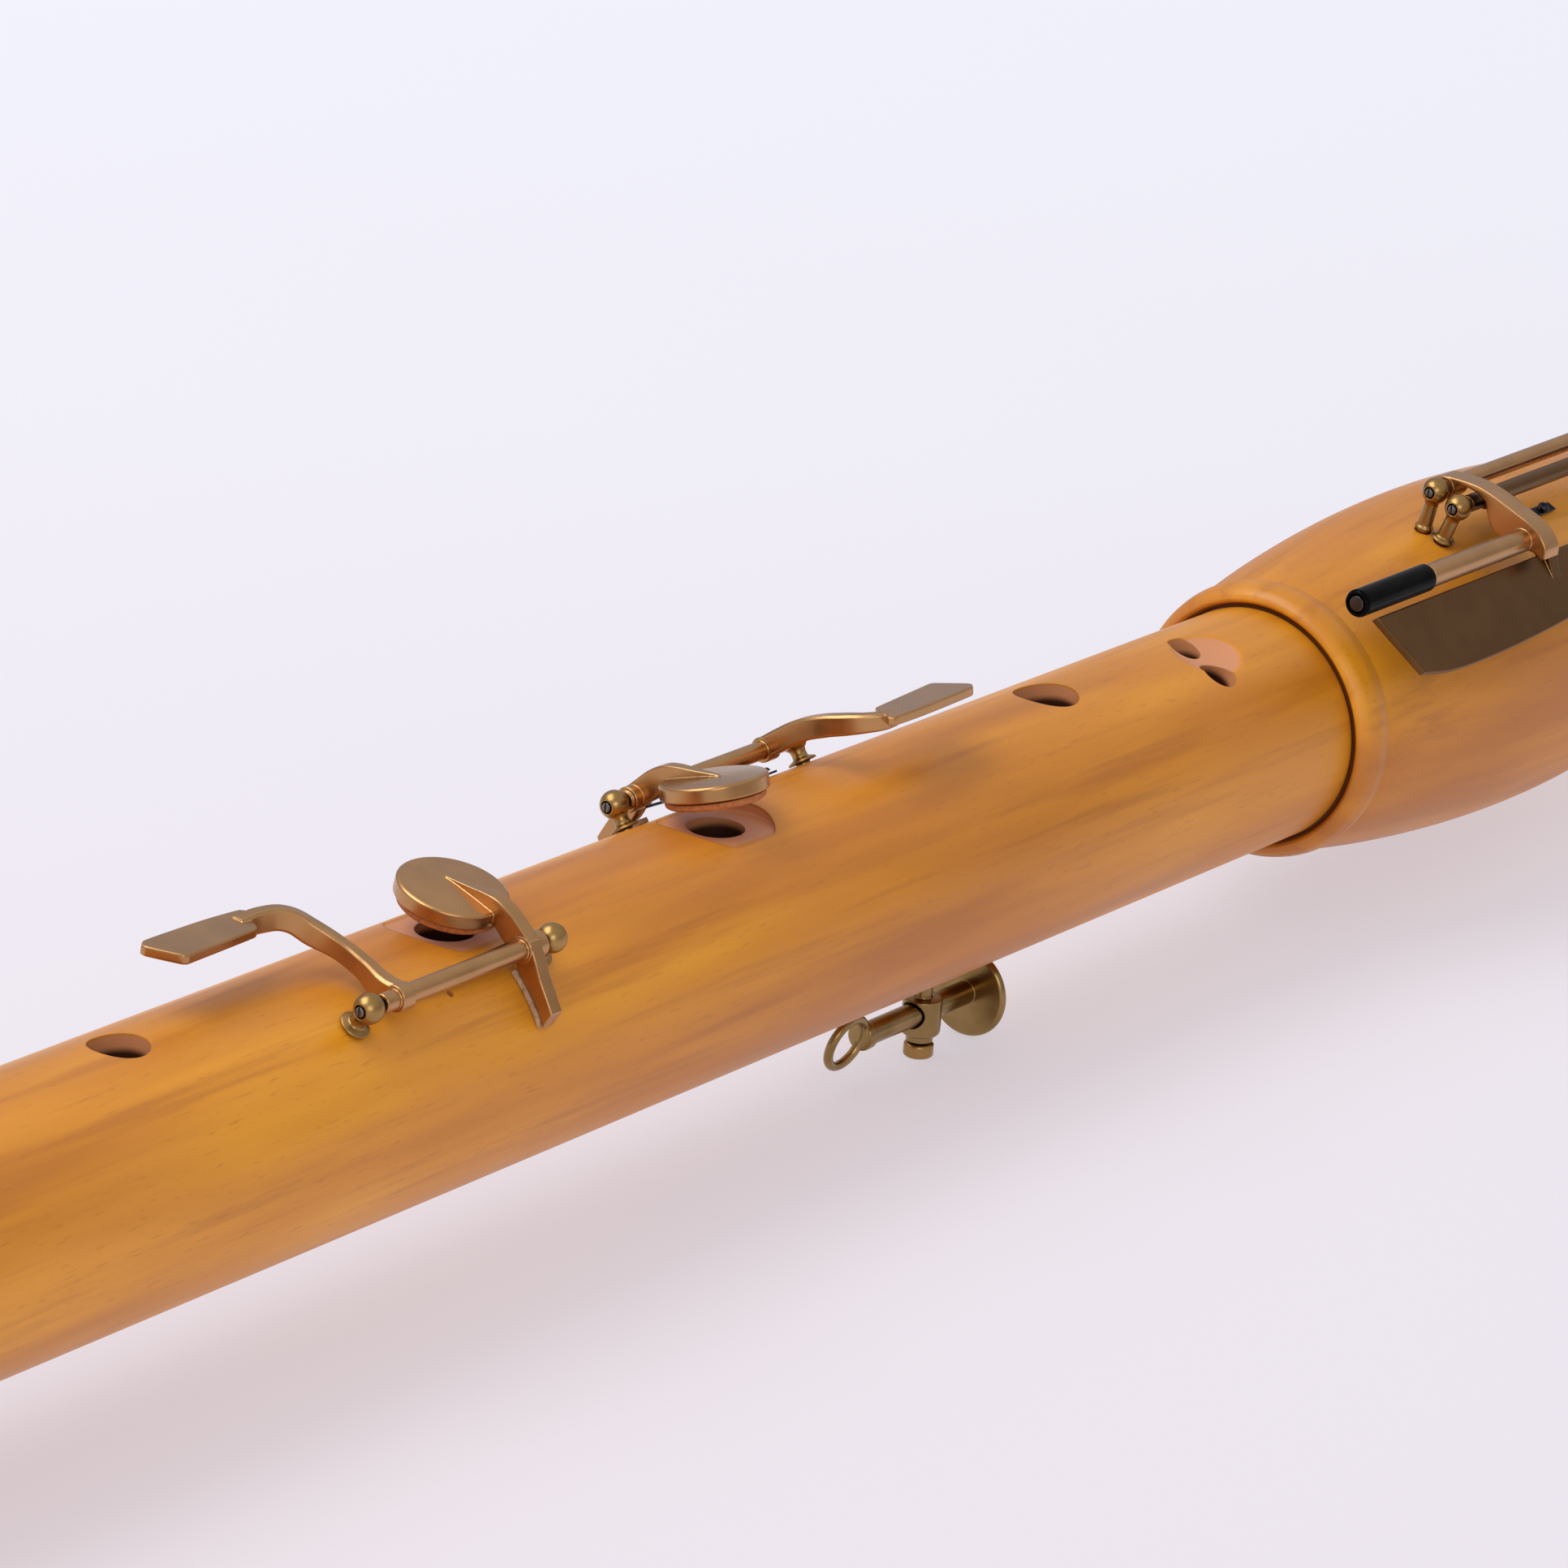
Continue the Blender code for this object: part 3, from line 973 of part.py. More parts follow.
def plate_key(wood, parent):
    """Build the near foot key, with the long plate for the little finger."""
    name = "plate_key"
    axis = foot_key_hinge(name, NEAR_AXIS_ANGLE, NEAR_AXIS_RHO, NEAR_POST_END, NEAR_FLANGE_RADIUS,
                          wood, parent)
    pivot = frame(name + "_pivot", parent, (0, *axis))
    hubs = ((PLATE_ARM_ALONG, BAR_THICKNESS), (NEAR_CUP_ALONG, BAR_THICKNESS))
    lever = foot_lever(name, NEAR_POST_END, hubs, pivot)
    arm = ring_outline([(0.0379, 20.0), (0.0386, 27.0), (0.0386, 35.0), (0.0380, 43.0),
                        (0.0368, 48.0), (PLATE_RHO - 0.0003, 53.0), (PLATE_RHO - 0.0012, 53.0),
                        (0.0345, 47.0), (0.0352, 42.0), (0.0352, 34.0), (0.0346, 26.0),
                        (0.0340, 20.5)], axis)
    fuse(lever, slab(name + "_plate_arm", arm, BAR_THICKNESS, pivot, upright(PLATE_ARM_ALONG)))
    outline = [(-0.0032, -0.0063), (0.0630, -0.0063), (0.0680, -0.0052), (0.0705, -0.0018),
               (0.0700, 0.0012), (0.0660, 0.0038), (0.0580, 0.0052), (0.0480, 0.0060),
               (0.0350, 0.0067), (0.0230, 0.0070), (0.0110, 0.0067), (0.0029, 0.0054)]
    middle = PLATE_RHO - PLATE_THICKNESS / 2
    lean = about_x(PLATE_ANGLE)
    flipped = Matrix.Diagonal((1, -1, -1, 1))
    place = (Matrix.Translation((0, -axis[0], -axis[1])) @ lean
             @ Matrix.Translation((0, 0, middle)) @ flipped)
    fuse(lever, slab(name + "_touch_plate", outline, PLATE_THICKNESS, pivot, place))
    foot_cup(name, NEAR_CUP_ALONG, axis, NEAR_AXIS_ANGLE, NEAR_AXIS_RHO, NEAR_OPEN, lever, pivot,
             wood, parent)
    foot_stop(name, NEAR_CUP_ALONG, axis, NEAR_AXIS_ANGLE, NEAR_AXIS_RHO, lever, pivot)
    cut(lever, cylinder(name + "_lever_bore", (FOOT_POST_ALONG, 0, 0), (NEAR_POST_END, 0, 0),
                        ROD_RADIUS + GAP, pivot))
    leaf_base = BULGE_RADIUS + GAP + LEAF_THICKNESS / 2
    leaf_spring(name + "_spring", 24.5,
                [(0.0740, leaf_base), (0.0680, leaf_base), (0.0590, leaf_base + 0.0017),
                 (PLATE_ARM_ALONG - 0.0005, leaf_base + 0.0039)], 0.0710, wood, parent)


# Thumb rest

def thumb_rest(wood):
    """Hang the sliding thumb rest with its strap ring under the middle joint."""
    carrier = frame("thumb_rest_frame", INSTRUMENT, (-REST_UP, 0, 0), about_x(180.0))
    foot = BODY_RADIUS + GAP
    flange_top = foot + 0.0010
    stand = lathe("thumb_rest_post",
                  [(0.0, REST_SLEEVE_BOTTOM + 0.0012), (LOCK_HEAD_RADIUS * 0.9,
                                                       REST_SLEEVE_BOTTOM + 0.0012),
                   (LOCK_HEAD_RADIUS * 0.9, REST_SLEEVE_BOTTOM),
                   (REST_SLEEVE_RADIUS - 0.0004, REST_SLEEVE_BOTTOM),
                   (REST_SLEEVE_RADIUS, REST_SLEEVE_BOTTOM - 0.0005),
                   (REST_SLEEVE_RADIUS, REST_SLEEVE_TOP), (REST_STEM_RADIUS, REST_SLEEVE_TOP),
                   (REST_STEM_RADIUS, flange_top + 0.0008), (REST_FLANGE_RADIUS - 0.0009, flange_top),
                   (REST_FLANGE_RADIUS, foot + 0.0004), (REST_FLANGE_RADIUS, foot),
                   (REST_STEM_RADIUS, foot), (REST_STEM_RADIUS, foot - REST_SHANK_LENGTH),
                   (0.0, foot - REST_SHANK_LENGTH)], carrier, BRASS, 20)
    rod_hole = REST_ROD_RADIUS + GAP
    cut(stand, cylinder("thumb_rest_rod_hole", (-0.006, 0, REST_AXIS_DEPTH),
                        (0.006, 0, REST_AXIS_DEPTH), rod_hole, carrier, sides=20))
    cut(stand, cylinder("lock_screw_hole", (0, 0, REST_AXIS_DEPTH), (0, 0, LOCK_HEAD_BOTTOM),
                        LOCK_SHANK_RADIUS + GAP, carrier))
    cut(wood, cylinder("thumb_rest_shank_hole", (0, 0, foot - REST_SHANK_LENGTH - GAP),
                       (0, 0, foot + 0.003), REST_STEM_RADIUS + GAP, carrier))

    slide = frame("thumb_rest_slide", carrier, (0, 0, REST_AXIS_DEPTH))
    rod = cylinder("thumb_rest", (REST_ROD_START, 0, 0), (REST_ROD_END, 0, 0), REST_ROD_RADIUS,
                   slide, BRASS, 20)
    plate_half = REST_PLATE_THICKNESS / 2
    plate = lathe("thumb_plate", [(0.0, plate_half), (REST_PLATE_RADIUS - 0.0005, plate_half),
                                  (REST_PLATE_RADIUS, 0.0003), (REST_PLATE_RADIUS, -0.0003),
                                  (REST_PLATE_RADIUS - 0.0004, -plate_half), (0.0, -plate_half)],
                  slide, None, 24, "X", Matrix.Translation((REST_ROD_END, 0, 0)))
    profile = []
    reach = REST_RING_RADIUS
    sides = 8
    for step in range(sides):
        lift = 2 * math.pi * step / sides
        profile.append((reach + REST_WIRE_RADIUS * math.cos(lift),
                        -REST_WIRE_RADIUS * math.sin(lift)))
    stand_up = Matrix.Rotation(math.radians(90.0 + REST_RING_TURN), 4, "X")
    loop = lathe("strap_ring", profile, slide, None, 20, "Z",
                 Matrix.Translation((REST_ROD_START - reach + 0.0006, 0, 0)) @ stand_up)
    collar = cylinder("strap_ring_collar", (REST_ROD_START - 0.0001, 0, 0),
                      (REST_ROD_START + 0.0018, 0, 0), REST_ROD_RADIUS + 0.0004, slide, sides=20)
    fuse(rod, plate, collar, loop)

    turn = frame("lock_screw_turn", carrier)
    shank_top = REST_AXIS_DEPTH + REST_ROD_RADIUS + GAP
    head_top = REST_SLEEVE_BOTTOM + 0.0012 + GAP
    lathe("thumb_rest_lock_screw",
          [(0.0, LOCK_HEAD_BOTTOM), (LOCK_HEAD_RADIUS - 0.0003, LOCK_HEAD_BOTTOM),
           (LOCK_HEAD_RADIUS, LOCK_HEAD_BOTTOM - 0.0003), (LOCK_HEAD_RADIUS, head_top + 0.0003),
           (LOCK_HEAD_RADIUS - 0.0003, head_top), (LOCK_SHANK_RADIUS, head_top),
           (LOCK_SHANK_RADIUS, shank_top), (0.0, shank_top)], turn, BRASS, 20)


# Assembly

def stand_on_floor():
    """Move the instrument so that its lowest point is at Z = 0 and its middle over the origin."""
    bpy.context.view_layer.update()
    graph = bpy.context.evaluated_depsgraph_get()
    corners = []
    for piece in PARTS.objects:
        solid = piece.evaluated_get(graph)
        mesh = solid.to_mesh()
        corners += [solid.matrix_world @ vertex.co for vertex in mesh.vertices]
        solid.to_mesh_clear()
    low = [min(corner[axis] for corner in corners) for axis in range(3)]
    high = [max(corner[axis] for corner in corners) for axis in range(3)]
    INSTRUMENT.location = (-(low[0] + high[0]) / 2, -(low[1] + high[1]) / 2, -low[2])
    bpy.context.view_layer.update()


body = middle_joint()
tenon_corks()
middle_key("key_3", 1, HOLE_3_UP, KEY_3_SPAN, KEY_3_TOUCH, KEY_3_NECK, KEY_3_OPEN, body)
middle_key("key_4", -1, HOLE_4_UP, KEY_4_SPAN, KEY_4_TOUCH, KEY_4_NECK, KEY_4_OPEN, body)
thumb_rest(body)

foot_frame = frame("foot_joint_frame", INSTRUMENT)
foot = foot_joint(foot_frame)
roller_key(foot, foot_frame)
plate_key(foot, foot_frame)

head_frame = frame("head_joint_frame", INSTRUMENT, (-MIDDLE_LENGTH, 0, 0))
head_joint(head_frame)
fipple_block(head_frame)
cap_cork(head_frame)
cap(head_frame)
crook(head_frame)
stand_on_floor()
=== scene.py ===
"""The bass recorder as it looks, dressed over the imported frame.

Each solid of the frame is stood for by a finer mesh of the same shape, drawn round the same
axis from the same sizes, with eased edges and a finish of its own. All lengths are metres and
all angles degrees.
"""
import json
import math

import bmesh
import bpy
from mathutils import Matrix, Vector

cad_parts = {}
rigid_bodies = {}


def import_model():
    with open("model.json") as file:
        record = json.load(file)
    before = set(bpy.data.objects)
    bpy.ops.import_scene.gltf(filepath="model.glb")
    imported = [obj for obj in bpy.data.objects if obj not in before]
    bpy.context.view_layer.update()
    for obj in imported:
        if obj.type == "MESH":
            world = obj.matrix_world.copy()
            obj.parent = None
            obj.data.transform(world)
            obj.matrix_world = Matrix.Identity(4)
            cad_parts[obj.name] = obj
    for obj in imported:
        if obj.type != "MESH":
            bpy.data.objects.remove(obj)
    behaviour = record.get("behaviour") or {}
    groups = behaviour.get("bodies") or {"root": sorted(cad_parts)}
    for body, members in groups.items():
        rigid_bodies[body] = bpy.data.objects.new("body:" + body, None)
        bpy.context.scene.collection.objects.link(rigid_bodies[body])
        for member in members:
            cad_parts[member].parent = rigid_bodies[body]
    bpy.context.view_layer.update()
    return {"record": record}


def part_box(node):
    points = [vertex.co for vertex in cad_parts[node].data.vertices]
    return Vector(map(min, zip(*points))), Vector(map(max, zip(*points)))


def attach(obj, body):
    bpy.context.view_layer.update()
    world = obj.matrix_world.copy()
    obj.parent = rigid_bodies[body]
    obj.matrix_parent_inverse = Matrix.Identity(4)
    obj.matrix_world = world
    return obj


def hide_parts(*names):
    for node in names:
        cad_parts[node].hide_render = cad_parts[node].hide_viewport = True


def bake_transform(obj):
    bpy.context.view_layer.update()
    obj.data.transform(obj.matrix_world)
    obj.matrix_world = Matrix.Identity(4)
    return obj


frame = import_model()

# General fits
GAP = 0.0003
MERGE = 0.00001
CUT_PAST, CUT_PAST_WOOD, CUT_PAST_SHANK, CUT_PAST_FOOT = 0.002, 0.004, 0.003, 0.006
SIDES_WOOD, SIDES_SEAT, SIDES_BORE, SIDES_DISC, SIDES_PIN, SIDES_SMALL = 144, 128, 112, 96, 80, 40

# Middle joint
BODY_RADIUS = 0.0205
MIDDLE_LENGTH = 0.417
MIDDLE_BORE_TOP, MIDDLE_BORE_FOOT = 0.0125, 0.0108
TENON_RADIUS = 0.0164
TENON_LENGTH = 0.0320
TENON_CORK_LENGTH = 0.0220
CORK_THICKNESS, CORK_PROUD = 0.0012, 0.0002
SHOULDER_INSET = 0.0015

# Finger holes: distance up from the foot socket, and radius
HOLE_1_UP, HOLE_1_RADIUS = 0.3620, 0.0044
HOLE_2_UP, HOLE_2_RADIUS = 0.2943, 0.0046
HOLE_3_UP = 0.2210
HOLE_4_UP = 0.1543
HOLE_5_UP, HOLE_5_RADIUS = 0.0643, 0.0055
HOLE_6_LARGE_UP, HOLE_6_LARGE, HOLE_6_LARGE_ANGLE = 0.0266, 0.0033, 28.0
HOLE_6_SMALL_UP, HOLE_6_SMALL, HOLE_6_SMALL_ANGLE = 0.0249, 0.0029, 3.0
THUMB_HOLE_UP, THUMB_HOLE_RADIUS = 0.3850, 0.0042
KEYED_HOLE_RADIUS = 0.0046
SCOOP_UP, SCOOP_ANGLE = 0.0237, 14.0
SCOOP_HALF_LENGTH, SCOOP_HALF_WIDTH, SCOOP_DEPTH = 0.0074, 0.0088, 0.0016
SPRING_NOTCH_UP, SPRING_NOTCH_ANGLE, SPRING_NOTCH_RADIUS = 0.2350, 38.0, 0.0006

# Turned swellings at both sockets
RIM_RADIUS = 0.02445
RIM_LENGTH = 0.0072
NECK_RADIUS = 0.02385
MOUTH_CHAMFER = 0.0012
BULGE_RADIUS = 0.0295
BULGE_FROM_SOCKET = 0.0660
WAIST_FROM_SOCKET = 0.1600

# Foot joint
FOOT_LENGTH = 0.2190
FOOT_BORE_RADIUS = 0.0100
FOOT_WAIST_RADIUS = 0.0225
FOOT_BEAD_RADIUS = 0.0243
BELL_RADIUS = 0.0272

# Head joint, block and cap
HEAD_LENGTH = 0.3300
HEAD_STEM_RADIUS = 0.0232
HEAD_BORE_RADIUS = 0.0140
CAP_TENON_LENGTH = 0.0200
CAP_TENON_RADIUS = 0.0180
BLOCK_LENGTH = 0.0750
WINDWAY_FLOOR = 0.0123
WINDWAY_WIDTH = 0.0120
WINDOW_LENGTH = 0.0110
WINDOW_WIDTH = 0.0150
LABIUM_RAMP = 0.0250
LABIUM_EDGE = 0.0004
CAP_LENGTH = 0.0600
CAP_RADIUS = 0.0300
CAP_TOP_RADIUS = 0.0110
CAP_CHAMBER_DEPTH = 0.0110

# Crook
CROOK_RADIUS = 0.0035
CROOK_BORE_RADIUS = 0.0025
CROOK_CORK_RADIUS = 0.0047
CROOK_CORK_LENGTH = 0.0140
CROOK_STEM = 0.0140
CROOK_BEND_RADIUS = 0.0380
CROOK_BEND_ANGLE = 150.0
CROOK_TAIL = 0.0550
CROOK_DROOP = 15.4

# Hinges of all keys
BALL_RADIUS = 0.00235
TUBE_RADIUS = 0.00155
HUB_RADIUS = 0.0021
ROD_RADIUS = 0.0008
SLOT_WIDTH, SLOT_DEPTH = 0.0003, 0.0004
POST_NECK_RADIUS = 0.0013
POST_FLANGE_RADIUS = 0.0024
NEAR_FLANGE_RADIUS, FAR_FLANGE_RADIUS = 0.0021, 0.00165
POST_FLANGE_HEIGHT = 0.0008
POST_SHANK_RADIUS = 0.0012
POST_SHANK_LENGTH = 0.0045

# Keys over holes 3 and 4
HINGE_ANGLE = 36.3
HINGE_HEIGHT = 0.0045
KEY_3_SPAN = 0.0425
KEY_4_SPAN = 0.0465

# Each touch: its shift along the key, its tilt across the key and its rise towards its end
KEY_3_TOUCH = (0.0, 3.0, 2.6)
KEY_4_TOUCH = (0.0068, 6.0, 0.0)

# The neck of each touch, from the touch to the hinge: height of its middle, and its depth
KEY_3_NECK = ((0.0081, 0.0034), (0.0085, 0.0035), (0.0083, 0.0035), (0.0062, 0.0036),
              (0.0044, 0.0031), (0.0026, 0.0032), (0.0005, 0.0040), (0.0001, 0.0038))
KEY_4_NECK = ((0.0083, 0.0026), (0.0081, 0.0028), (0.0077, 0.0030), (0.0071, 0.0034),
              (0.0062, 0.0036), (0.0047, 0.0037), (0.0022, 0.0038), (0.0002, 0.0036))
CUP_FROM_POST = 0.0068
CUP_ARM_FROM_POST = 0.0061
CUP_RADIUS = 0.0087
CUP_TOP = 0.00305
CUP_THICKNESS = 0.0026
PAD_RADIUS = 0.0080
PAD_THICKNESS = 0.0015
SEAT_RADIUS = 0.0093
BAR_THICKNESS = 0.0026
BAR_DEPTH = 0.0036
HUB_MARGIN = 0.0001
TOUCH_ARM_ALONG, TOUCH_MIDDLE, TOUCH_BACK, NECK_BACK = 0.0070, 0.0190, 0.0035, 0.0062
HUB_FROM_BALL = 0.0004
RIB_TIP = 0.0008
RIB_REACH = 0.0019
RIB_CUT_MARGIN, RIB_CUT_REACH, RIB_CUT_HEIGHT = 0.0010, 0.0030, 0.0100
TOUCH_THICKNESS = 0.0016
TOUCH_LEVEL = 0.00935
DRAWN_OPEN, KEY_3_OPEN, KEY_4_OPEN = 12.5, 12.5, 15.1
STOP_CORK_THICKNESS = 0.0008
STOP_CORK_LENGTH = 0.0092
STOP_CORK_END = 28.6

# Keys of the foot joint
NEAR_AXIS_ANGLE, NEAR_AXIS_RHO = 20.2, 0.0359
FAR_AXIS_ANGLE, FAR_AXIS_RHO = 11.9, 0.0363
FOOT_POST_ALONG = 0.0415
NEAR_POST_END = 0.1215
FAR_POST_END = 0.1600
NEAR_CUP_ALONG = 0.1100
FAR_CUP_ALONG = 0.1480
FOOT_CUP_ANGLE = 50.0
FOOT_HOLE_RADIUS = 0.0050
FOOT_SEAT_DEPTH, FOOT_STOP_BACK = 0.0010, 20.0
NEAR_OPEN = 7.5
FAR_OPEN = 5.5
ROLLER_ARM_ALONG = 0.0466
ROLLER_ARM_WIDTH = 0.0046
PLATE_ARM_ALONG = 0.0514
PLATE_RHO = 0.0360
PLATE_ANGLE = 53.2
PLATE_THICKNESS = 0.0015
ROLLER_Y, ROLLER_Z = -0.0240, 0.0300
ROLLER_RADIUS = 0.00245
ROLLER_LENGTH = 0.0219
ROLLER_START = -0.0089
SLEEVE_RADIUS = 0.0021
ROLLER_PIN_RADIUS = 0.0007
ROLLER_PIN_HEAD = 0.0014

# Leaf springs and their screws
LEAF_WIDTH = 0.0020
LEAF_THICKNESS = 0.00035
LEAF_SCREW_RADIUS = 0.0011
LEAF_SCREW_SHANK = 0.0005
LEAF_SCREW_LENGTH = 0.0030
LEAF_START, LEAF_FLAT_END, LEAF_BEND, LEAF_SCREW_ALONG = 0.0100, 0.0160, 0.0260, 0.0120
LEAF_BELOW_HINGE, LEAF_LEAN, LEAF_PAST_ARM = 0.0022, 4.5, 0.0005

# Thumb rest
REST_UP = 0.0925
REST_AXIS_DEPTH = 0.0283
REST_SLEEVE_RADIUS = 0.0033
REST_SLEEVE_TOP = 0.0258
REST_SLEEVE_BOTTOM = 0.0322
REST_STEM_RADIUS = 0.0015
REST_FLANGE_RADIUS = 0.0032
REST_SHANK_LENGTH = 0.0060
REST_ROD_RADIUS = 0.0020
REST_ROD_START = -0.0172
REST_ROD_END = 0.0130
REST_RING_RADIUS = 0.0044
REST_WIRE_RADIUS = 0.0008
REST_RING_TURN = 15.0
REST_PLATE_RADIUS = 0.0076
REST_PLATE_THICKNESS = 0.0016
LOCK_HEAD_RADIUS = 0.0025
LOCK_HEAD_BOTTOM = 0.0361
LOCK_SHANK_RADIUS = 0.0011

# Finish of the meshes
WOOD_EASE, METAL_EASE, SLAB_EDGE = 0.0009, 0.00025, 0.0003
SHARP_TURN, RIM_TURN, SHARP_EDGE = 8.0, 60.0, 32.0
FLOW_CORNER, FLOW_STEPS, SWEEP_STEPS = 40.0, 6, 10

shifted = Matrix.Translation
UNTURNED = Matrix.Identity(4)

PARTS = bpy.data.collections.new("bass_recorder")
CUTTERS = bpy.data.collections.new("cutters_and_tools")
bpy.context.scene.collection.children.link(PARTS)
bpy.context.scene.collection.children.link(CUTTERS)


# Modelling tools

def holder(name, parent=None, location=(0, 0, 0), turn=UNTURNED):
    """Return an empty that carries pieces."""
    empty = bpy.data.objects.new(name, None)
    CUTTERS.objects.link(empty)
    empty.parent = parent
    empty.matrix_local = shifted(Vector(location)) @ turn
    return empty


def about_x(angle):
    return Matrix.Rotation(math.radians(angle), 4, "X")


def placed(name, mesh, parent, finish, matrix=UNTURNED):
    """Return a piece of the instrument, or a tool if it has no finish."""
    piece = bpy.data.objects.new(name, mesh)
    piece["node"] = name
    if finish:
        PARTS.objects.link(piece)
        piece["finish"] = finish
    else:
        CUTTERS.objects.link(piece)
    piece.parent = parent
    piece.matrix_local = matrix
    return piece


def set_up(thing, **values):
    """Return a thing with its properties set."""
    for key, value in values.items():
        setattr(thing, key, value)
    return thing


def from_shape(name, shape, parent, finish=None, matrix=UNTURNED):
    """Return the piece of a bmesh, or the tool."""
    mesh = bpy.data.meshes.new(name)
    shape.to_mesh(mesh)
    return placed(name, mesh, parent, finish, matrix)


def final_mesh(piece):
    """Return a new mesh of an object with its curve or its modifiers worked out."""
    graph = bpy.context.evaluated_depsgraph_get()
    return bpy.data.meshes.new_from_object(piece.evaluated_get(graph))


def weld(shape):
    """Join the points that lie on one another, and turn every face outwards."""
    bmesh.ops.remove_doubles(shape, verts=shape.verts, dist=MERGE)
    bmesh.ops.recalc_face_normals(shape, faces=shape.faces)


def shares(count, first=0):
    """Return the even shares of a whole, from a first step up to all of it."""
    return [step / count for step in range(first, count + 1)]


def eased(profile, ease):
    """Round each corner of a profile that turns sharply, but not its ends on the axis."""
    made = []
    count = len(profile)
    for place, point in enumerate(profile):
        here = Vector(point)
        before = Vector(profile[place - 1]) - here
        after = Vector(profile[(place + 1) % count]) - here
        on_axis = profile[0][0] == 0.0 and place in (0, count - 1)
        if on_axis or math.pi - before.angle(after) < math.radians(SHARP_TURN):
            made.append(tuple(here))
            continue
        reach = min(ease, before.length * 0.4, after.length * 0.4)
        first = here + before.normalized() * reach
        last = here + after.normalized() * reach
        for share in shares(4):
            made.append(tuple(first * (1 - share) ** 2 + here * 2 * share * (1 - share)
                              + last * share ** 2))
    return made


def lathe(name, profile, parent, finish=None, sides=SIDES_SMALL, axis="Z", matrix=UNTURNED,
          ease=METAL_EASE):
    """Turn a profile of (radius, height) points, given from the top down its outer side.

    A profile that starts and ends on the axis is left open, and any other is closed into a ring.
    """
    profile = eased(profile, ease)
    shape = bmesh.new()
    points = [shape.verts.new((radius, 0.0, height)) for radius, height in profile]
    edges = [shape.edges.new(pair) for pair in zip(points, points[1:])]
    if profile[0][0] > 0.0:
        edges.append(shape.edges.new((points[-1], points[0])))
    bmesh.ops.spin(shape, geom=points + edges, axis=(0, 0, 1), cent=(0, 0, 0),
                   angle=2 * math.pi, steps=sides, use_merge=True)
    weld(shape)
    lay = Matrix.Rotation(math.pi / 2, 4, "Y") if axis == "X" else UNTURNED
    half_step = Matrix.Rotation(math.pi / sides, 4, "Z")
    return from_shape(name, shape, parent, finish, matrix @ lay @ half_step)


def turned_wood(name, profile, parent):
    """Turn one of the wooden joints along the axis of the instrument."""
    return lathe(name, profile, parent, "maple", SIDES_WOOD, "X", ease=WOOD_EASE)


def cork_ring(name, high, low, radius, parent):
    """Wrap a groove of the wood in cork, up to a little more than the radius of the wood."""
    outer, inner = radius + CORK_PROUD, radius - CORK_THICKNESS + GAP
    lathe(name, [(outer, high), (outer, low), (inner, low), (inner, high)], parent, "cork",
          SIDES_WOOD, "X")


def cylinder(name, start, end, radius, parent, finish=None, sides=SIDES_SMALL):
    """Return a round bar between two points, its rims eased."""
    start, end = Vector(start), Vector(end)
    run = end - start
    turn = run.to_track_quat("Z", "Y").to_matrix().to_4x4()
    half_step = Matrix.Rotation(math.pi / sides, 4, "Z")
    shape = bmesh.new()
    bmesh.ops.create_cone(shape, cap_ends=True, segments=sides, radius1=radius, radius2=radius,
                          depth=run.length, matrix=shifted((start + end) / 2) @ turn @ half_step)
    rims = [edge for edge in shape.edges if edge.calc_face_angle() > math.radians(RIM_TURN)]
    bmesh.ops.bevel(shape, geom=rims, offset=min(METAL_EASE, radius * 0.3, run.length * 0.3),
                    segments=3, profile=0.5, affect="EDGES", clamp_overlap=True)
    return from_shape(name, shape, parent, finish)


def box(name, low, high, parent):
    """Return a box between two corners, to cut with."""
    low, high = Vector(low), Vector(high)
    shape = bmesh.new()
    bmesh.ops.create_cube(shape, size=1.0, matrix=(
        shifted((low + high) / 2) @ Matrix.Diagonal((*(high - low), 1))))
    return from_shape(name, shape, parent)


def solid_from_curve(name, curve, parent, finish, matrix=UNTURNED):
    """Turn a filled or swept curve into a closed mesh."""
    guide = bpy.data.objects.new(name, curve)
    CUTTERS.objects.link(guide)
    shape = bmesh.new()
    shape.from_mesh(final_mesh(guide))
    weld(shape)
    bpy.data.objects.remove(guide)
    return from_shape(name, shape, parent, finish, matrix)


def straight_curve(name, points, closed=False, **values):
    """Return a curve of straight runs: a flat outline where it is closed, else a route."""
    curve = bpy.data.curves.new(name, "CURVE")
    set_up(curve, dimensions="2D" if closed else "3D", **values)
    spline = curve.splines.new("POLY")
    spline.points.add(len(points) - 1)
    for knot, place in zip(spline.points, points):
        knot.co = (*Vector(place).to_3d(), 1.0)
    spline.use_cyclic_u = closed
    return curve


def flowing(outline):
    """Return an outline that curves through its points, apart from its sharp corners."""
    points = [Vector(point) for point in outline]
    count = len(points)

    def slope(middle, run):
        before, here, after = points[middle - 1], points[middle], points[(middle + 1) % count]
        if (here - before).angle(after - here) > math.radians(FLOW_CORNER):
            return run
        shortest = min((here - before).length, (after - here).length)
        return (after - before).normalized() * min(run.length, 2.0 * shortest)

    made = []
    for place, start in enumerate(points):
        following = (place + 1) % count
        end = points[following]
        first, last = slope(place, end - start), slope(following, end - start)
        for t in shares(FLOW_STEPS)[:-1]:
            made.append(tuple(start * (2 * t ** 3 - 3 * t ** 2 + 1) + first * (t ** 3 - 2 * t ** 2 + t)
                              + end * (3 * t ** 2 - 2 * t ** 3) + last * (t ** 3 - t ** 2)))
    return made


def slab(name, outline, thickness, parent, matrix, finish=None, edge=SLAB_EDGE):
    """Return a flat outline, thick by equal halves to both sides, with its edges eased."""
    curve = straight_curve(name, flowing(outline) if edge else outline, True, fill_mode="BOTH",
                           extrude=thickness / 2 - edge, bevel_depth=edge, bevel_resolution=2,
                           offset=-edge)
    return solid_from_curve(name, curve, parent, finish, matrix)


